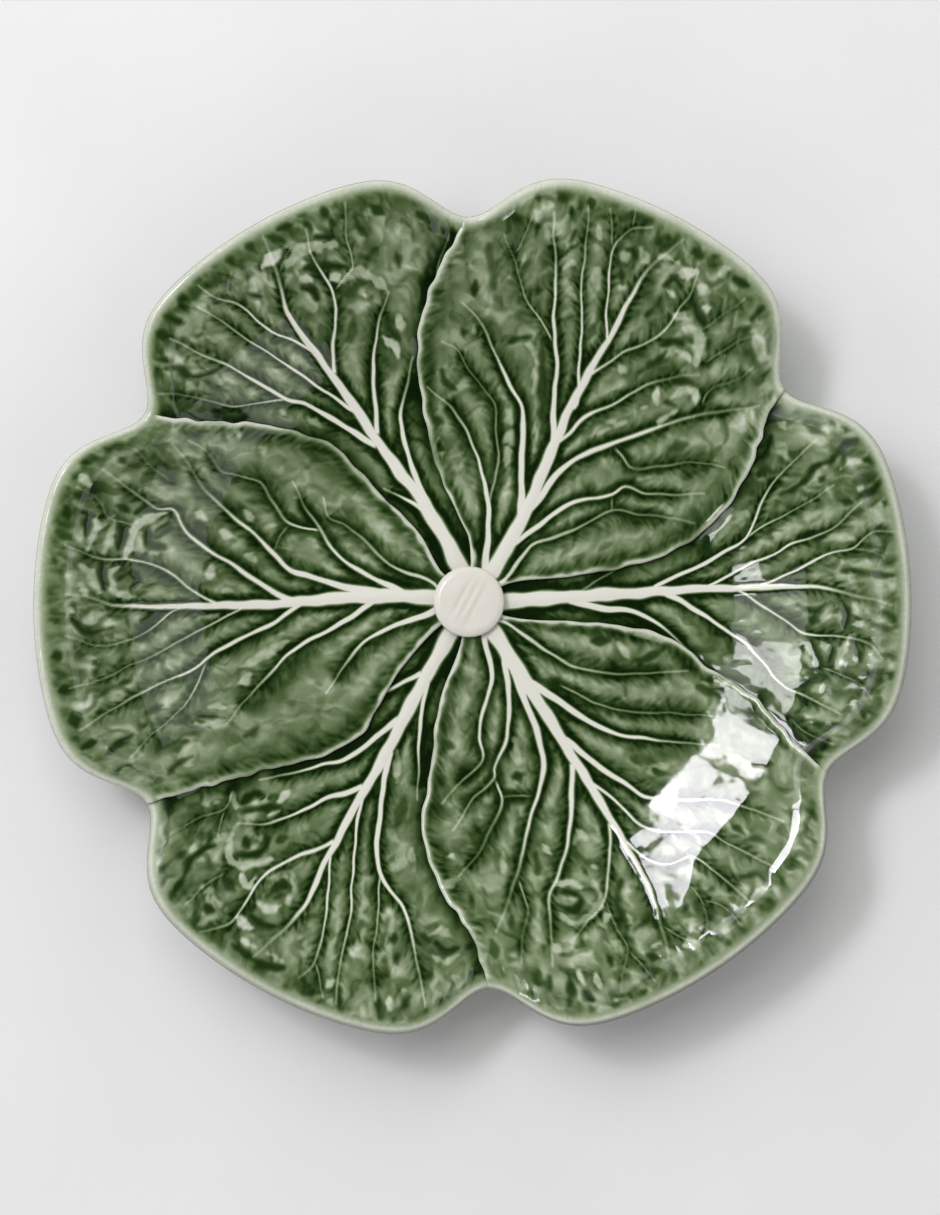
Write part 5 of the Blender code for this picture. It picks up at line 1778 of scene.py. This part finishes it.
def stem_profile():
    """The stem's low dome and soft edge, down to its shank, from the axis outwards and back."""
    profile = [(AXIS_GAP, STEM_TOP)]
    for r in np.linspace(FIRST_RING, STEM_RADIUS - STEM_EDGE_ROUND, STEM_RINGS):
        profile.append((r, STEM_TOP - STEM_DOME * (r / STEM_RADIUS) ** 2))
    shoulder = profile[-1][1]
    for turn in np.radians(np.linspace(*STEM_EDGE_TURNS)):
        drop = STEM_EDGE_DROP * (1 - math.cos(turn))
        profile.append((STEM_RADIUS - STEM_EDGE_ROUND * (1 - math.sin(turn)), shoulder - drop))
    disc_underside = FOOT_HEIGHT + LEAF_THICKNESS + LAP_STEP + STEM_GAP
    shank_end = FOOT_HEIGHT + STEM_SINK
    profile += [(STEM_RADIUS, disc_underside), (STEM_SHANK_RADIUS, disc_underside)]
    return profile + [(STEM_SHANK_RADIUS, shank_end), (AXIS_GAP, shank_end)]


def stem_grooves(x, y):
    lean = math.radians(STEM_GROOVE_BEARING)
    along = x * math.cos(lean) + y * math.sin(lean)
    sideways = x * math.sin(lean) - y * math.cos(lean)
    groove = np.zeros(len(x))
    for place, half_length in STEM_GROOVES:
        ends = [share * half_length for share in GROOVE_ENDS]
        groove = np.maximum(groove, bell(sideways, place, GROOVE_WIDTH) * smooth_step(*ends, np.abs(along)))
    return groove


def make_stem(material):
    """The cut stem: a low dome with slanting knife grooves, on its shank."""
    points, faces = turned_mesh(stem_profile(), STEM_SIDES)
    faces += [tuple(range(STEM_SIDES)), tuple(range(len(points) - 1, len(points) - STEM_SIDES - 1, -1))]
    x, y, z = points.T
    groove = stem_grooves(x, y)
    on_top = smooth_step(*(STEM_TOP - drop for drop in STEM_CUT), z)
    under = smooth_step(*(FOOT_HEIGHT + rise for rise in STEM_UNDER), z)
    uneven = STEM_CUT_DEPTH * (1 + ripples(x, y, STEM_CUT_GRAIN))
    points[:, 2] -= on_top * (GROOVE_DEPTH * groove + uneven)
    # Painted shade: darker in the grooves and down the button's sides
    thin = 1 - GROOVE_SHADE * groove - STEM_SIDE_SHADE * (1 - on_top)
    coats = {"thin": thin, "under": under}
    add_piece("cut_stem", points, faces, coats, material, "stem_button")


def tread_corner(edge, inward, turns):
    """A rounded corner of the foot's tread, from an edge towards the middle of the tread."""
    corner = []
    for turn in turns:
        r = edge + inward * TREAD_ROUND * (1 - math.cos(turn))
        corner.append((r, TREAD_ROUND * (1 - math.sin(turn))))
    return corner


def make_foot(material):
    """The foot ring, softened at the tread, where the glaze is wiped off."""
    outer, inner = FOOT_OUTER_RADIUS, FOOT_INNER_RADIUS
    outer_top, inner_top = (FOOT_HEIGHT + wall_rise(side) - FOOT_CLEARANCE for side in (outer, inner))
    batter, at_height = FOOT_BATTER
    profile = [(outer, outer_top), (outer - batter, at_height * outer_top)]
    profile += tread_corner(outer - FOOT_TAPER, -1, TREAD_TURNS)
    profile += tread_corner(inner + FOOT_TAPER, 1, TREAD_TURNS[::-1])
    profile += [(inner + batter, at_height * inner_top), (inner, inner_top)]
    points, faces = turned_mesh(profile, FOOT_SIDES, closed=True)
    x, y, z = points.T
    line = GLAZE_LINE + GLAZE_LINE_WAVER * ripples(x, y, GLAZE_LINE_GRAIN)
    thin = smooth_step(line - GLAZE_LINE_BLUR, line + GLAZE_LINE_BLUR, z)
    add_piece("foot", points, faces, {"thin": thin}, material, "foot_ring")


# Stage

def aim(obj, azimuth, elevation, distance, target):
    """Put an object at a bearing and height from a target, looking at it."""
    turn, lift = math.radians(azimuth), math.radians(elevation)
    outward = Vector((math.cos(lift) * math.cos(turn), math.cos(lift) * math.sin(turn), math.sin(lift)))
    obj.location = target + distance * outward
    obj.rotation_euler = (-outward).to_track_quat("-Z", "Y").to_euler()


def add_panel(name, azimuth, elevation, wide, high, radiance, mirrored=True, lean=0.0, tint=(1, 1, 1)):
    """A soft rectangular light, mirrored in the glaze or not."""
    lamp = bpy.data.lights.new(name, "AREA")
    lamp.shape = "RECTANGLE"
    lamp.color = tint
    lamp.size = 2 * PANEL_DISTANCE * math.tan(math.radians(wide / 2))
    lamp.size_y = 2 * PANEL_DISTANCE * math.tan(math.radians(high / 2))
    lamp.energy = radiance * math.pi * lamp.size * lamp.size_y
    panel = bpy.data.objects.new(name, lamp)
    panel.visible_glossy = mirrored
    bpy.context.scene.collection.objects.link(panel)
    aim(panel, azimuth, elevation, PANEL_DISTANCE, PANEL_TARGET)
    panel.rotation_euler.rotate_axis("Z", math.radians(lean))


def add_floor():
    mesh = bpy.data.meshes.new("floor")
    corners = [(-1, -1), (1, -1), (1, 1), (-1, 1)]
    mesh.from_pydata([(x * FLOOR_SIZE, y * FLOOR_SIZE, 0) for x, y in corners], [], [(0, 1, 2, 3)])
    mesh.materials.append(floor_finish())
    floor = bpy.data.objects.new("floor", mesh)
    bpy.context.scene.collection.objects.link(floor)


def add_room():
    """A plain room: pale low down, dim overhead, and pale where the camera looks past the floor."""
    world = bpy.data.worlds.new("room")
    bpy.context.scene.world = world
    finish = Finish(world)
    direction = finish.node("ShaderNodeTexCoord", {}, {}, "Generated")
    height = finish.node("ShaderNodeSeparateXYZ", {}, {"Vector": direction}, "Z")
    glow = finish.ramp(height, [(position, grey(level)) for position, level in ROOM_GLOW])
    seen = finish.node("ShaderNodeLightPath", {}, {}, "Is Camera Ray")
    background = finish.tree.nodes["Background"]
    finish.feed(background.inputs["Color"], finish.blend(seen, glow, grey(ROOM_SEEN)))


def add_camera():
    camera = bpy.data.cameras.new("camera")
    camera.lens = LENS
    camera.sensor_width = PHOTO_HEIGHT_MM * MM * LENS / VIEW_HEIGHT
    eye = bpy.data.objects.new("camera", camera)
    bpy.context.scene.collection.objects.link(eye)
    rim_height = cad_box[1][2]
    right, up = VIEW_SHIFT
    eye.location = (STEM_PLACE.x + right * MM, STEM_PLACE.y + up * MM, rim_height + VIEW_HEIGHT)
    bpy.context.scene.camera = eye


def main():
    glaze = green_glaze()
    for index, (name, dressing) in enumerate(LEAVES.items()):
        make_leaf(name, index, dressing, glaze)
    make_stem(cream_glaze())
    make_foot(foot_finish())
    add_floor()
    add_room()
    for panel in PANELS:
        add_panel(**panel)
    add_camera()
    bpy.context.scene.view_settings.view_transform = "Standard"


main()
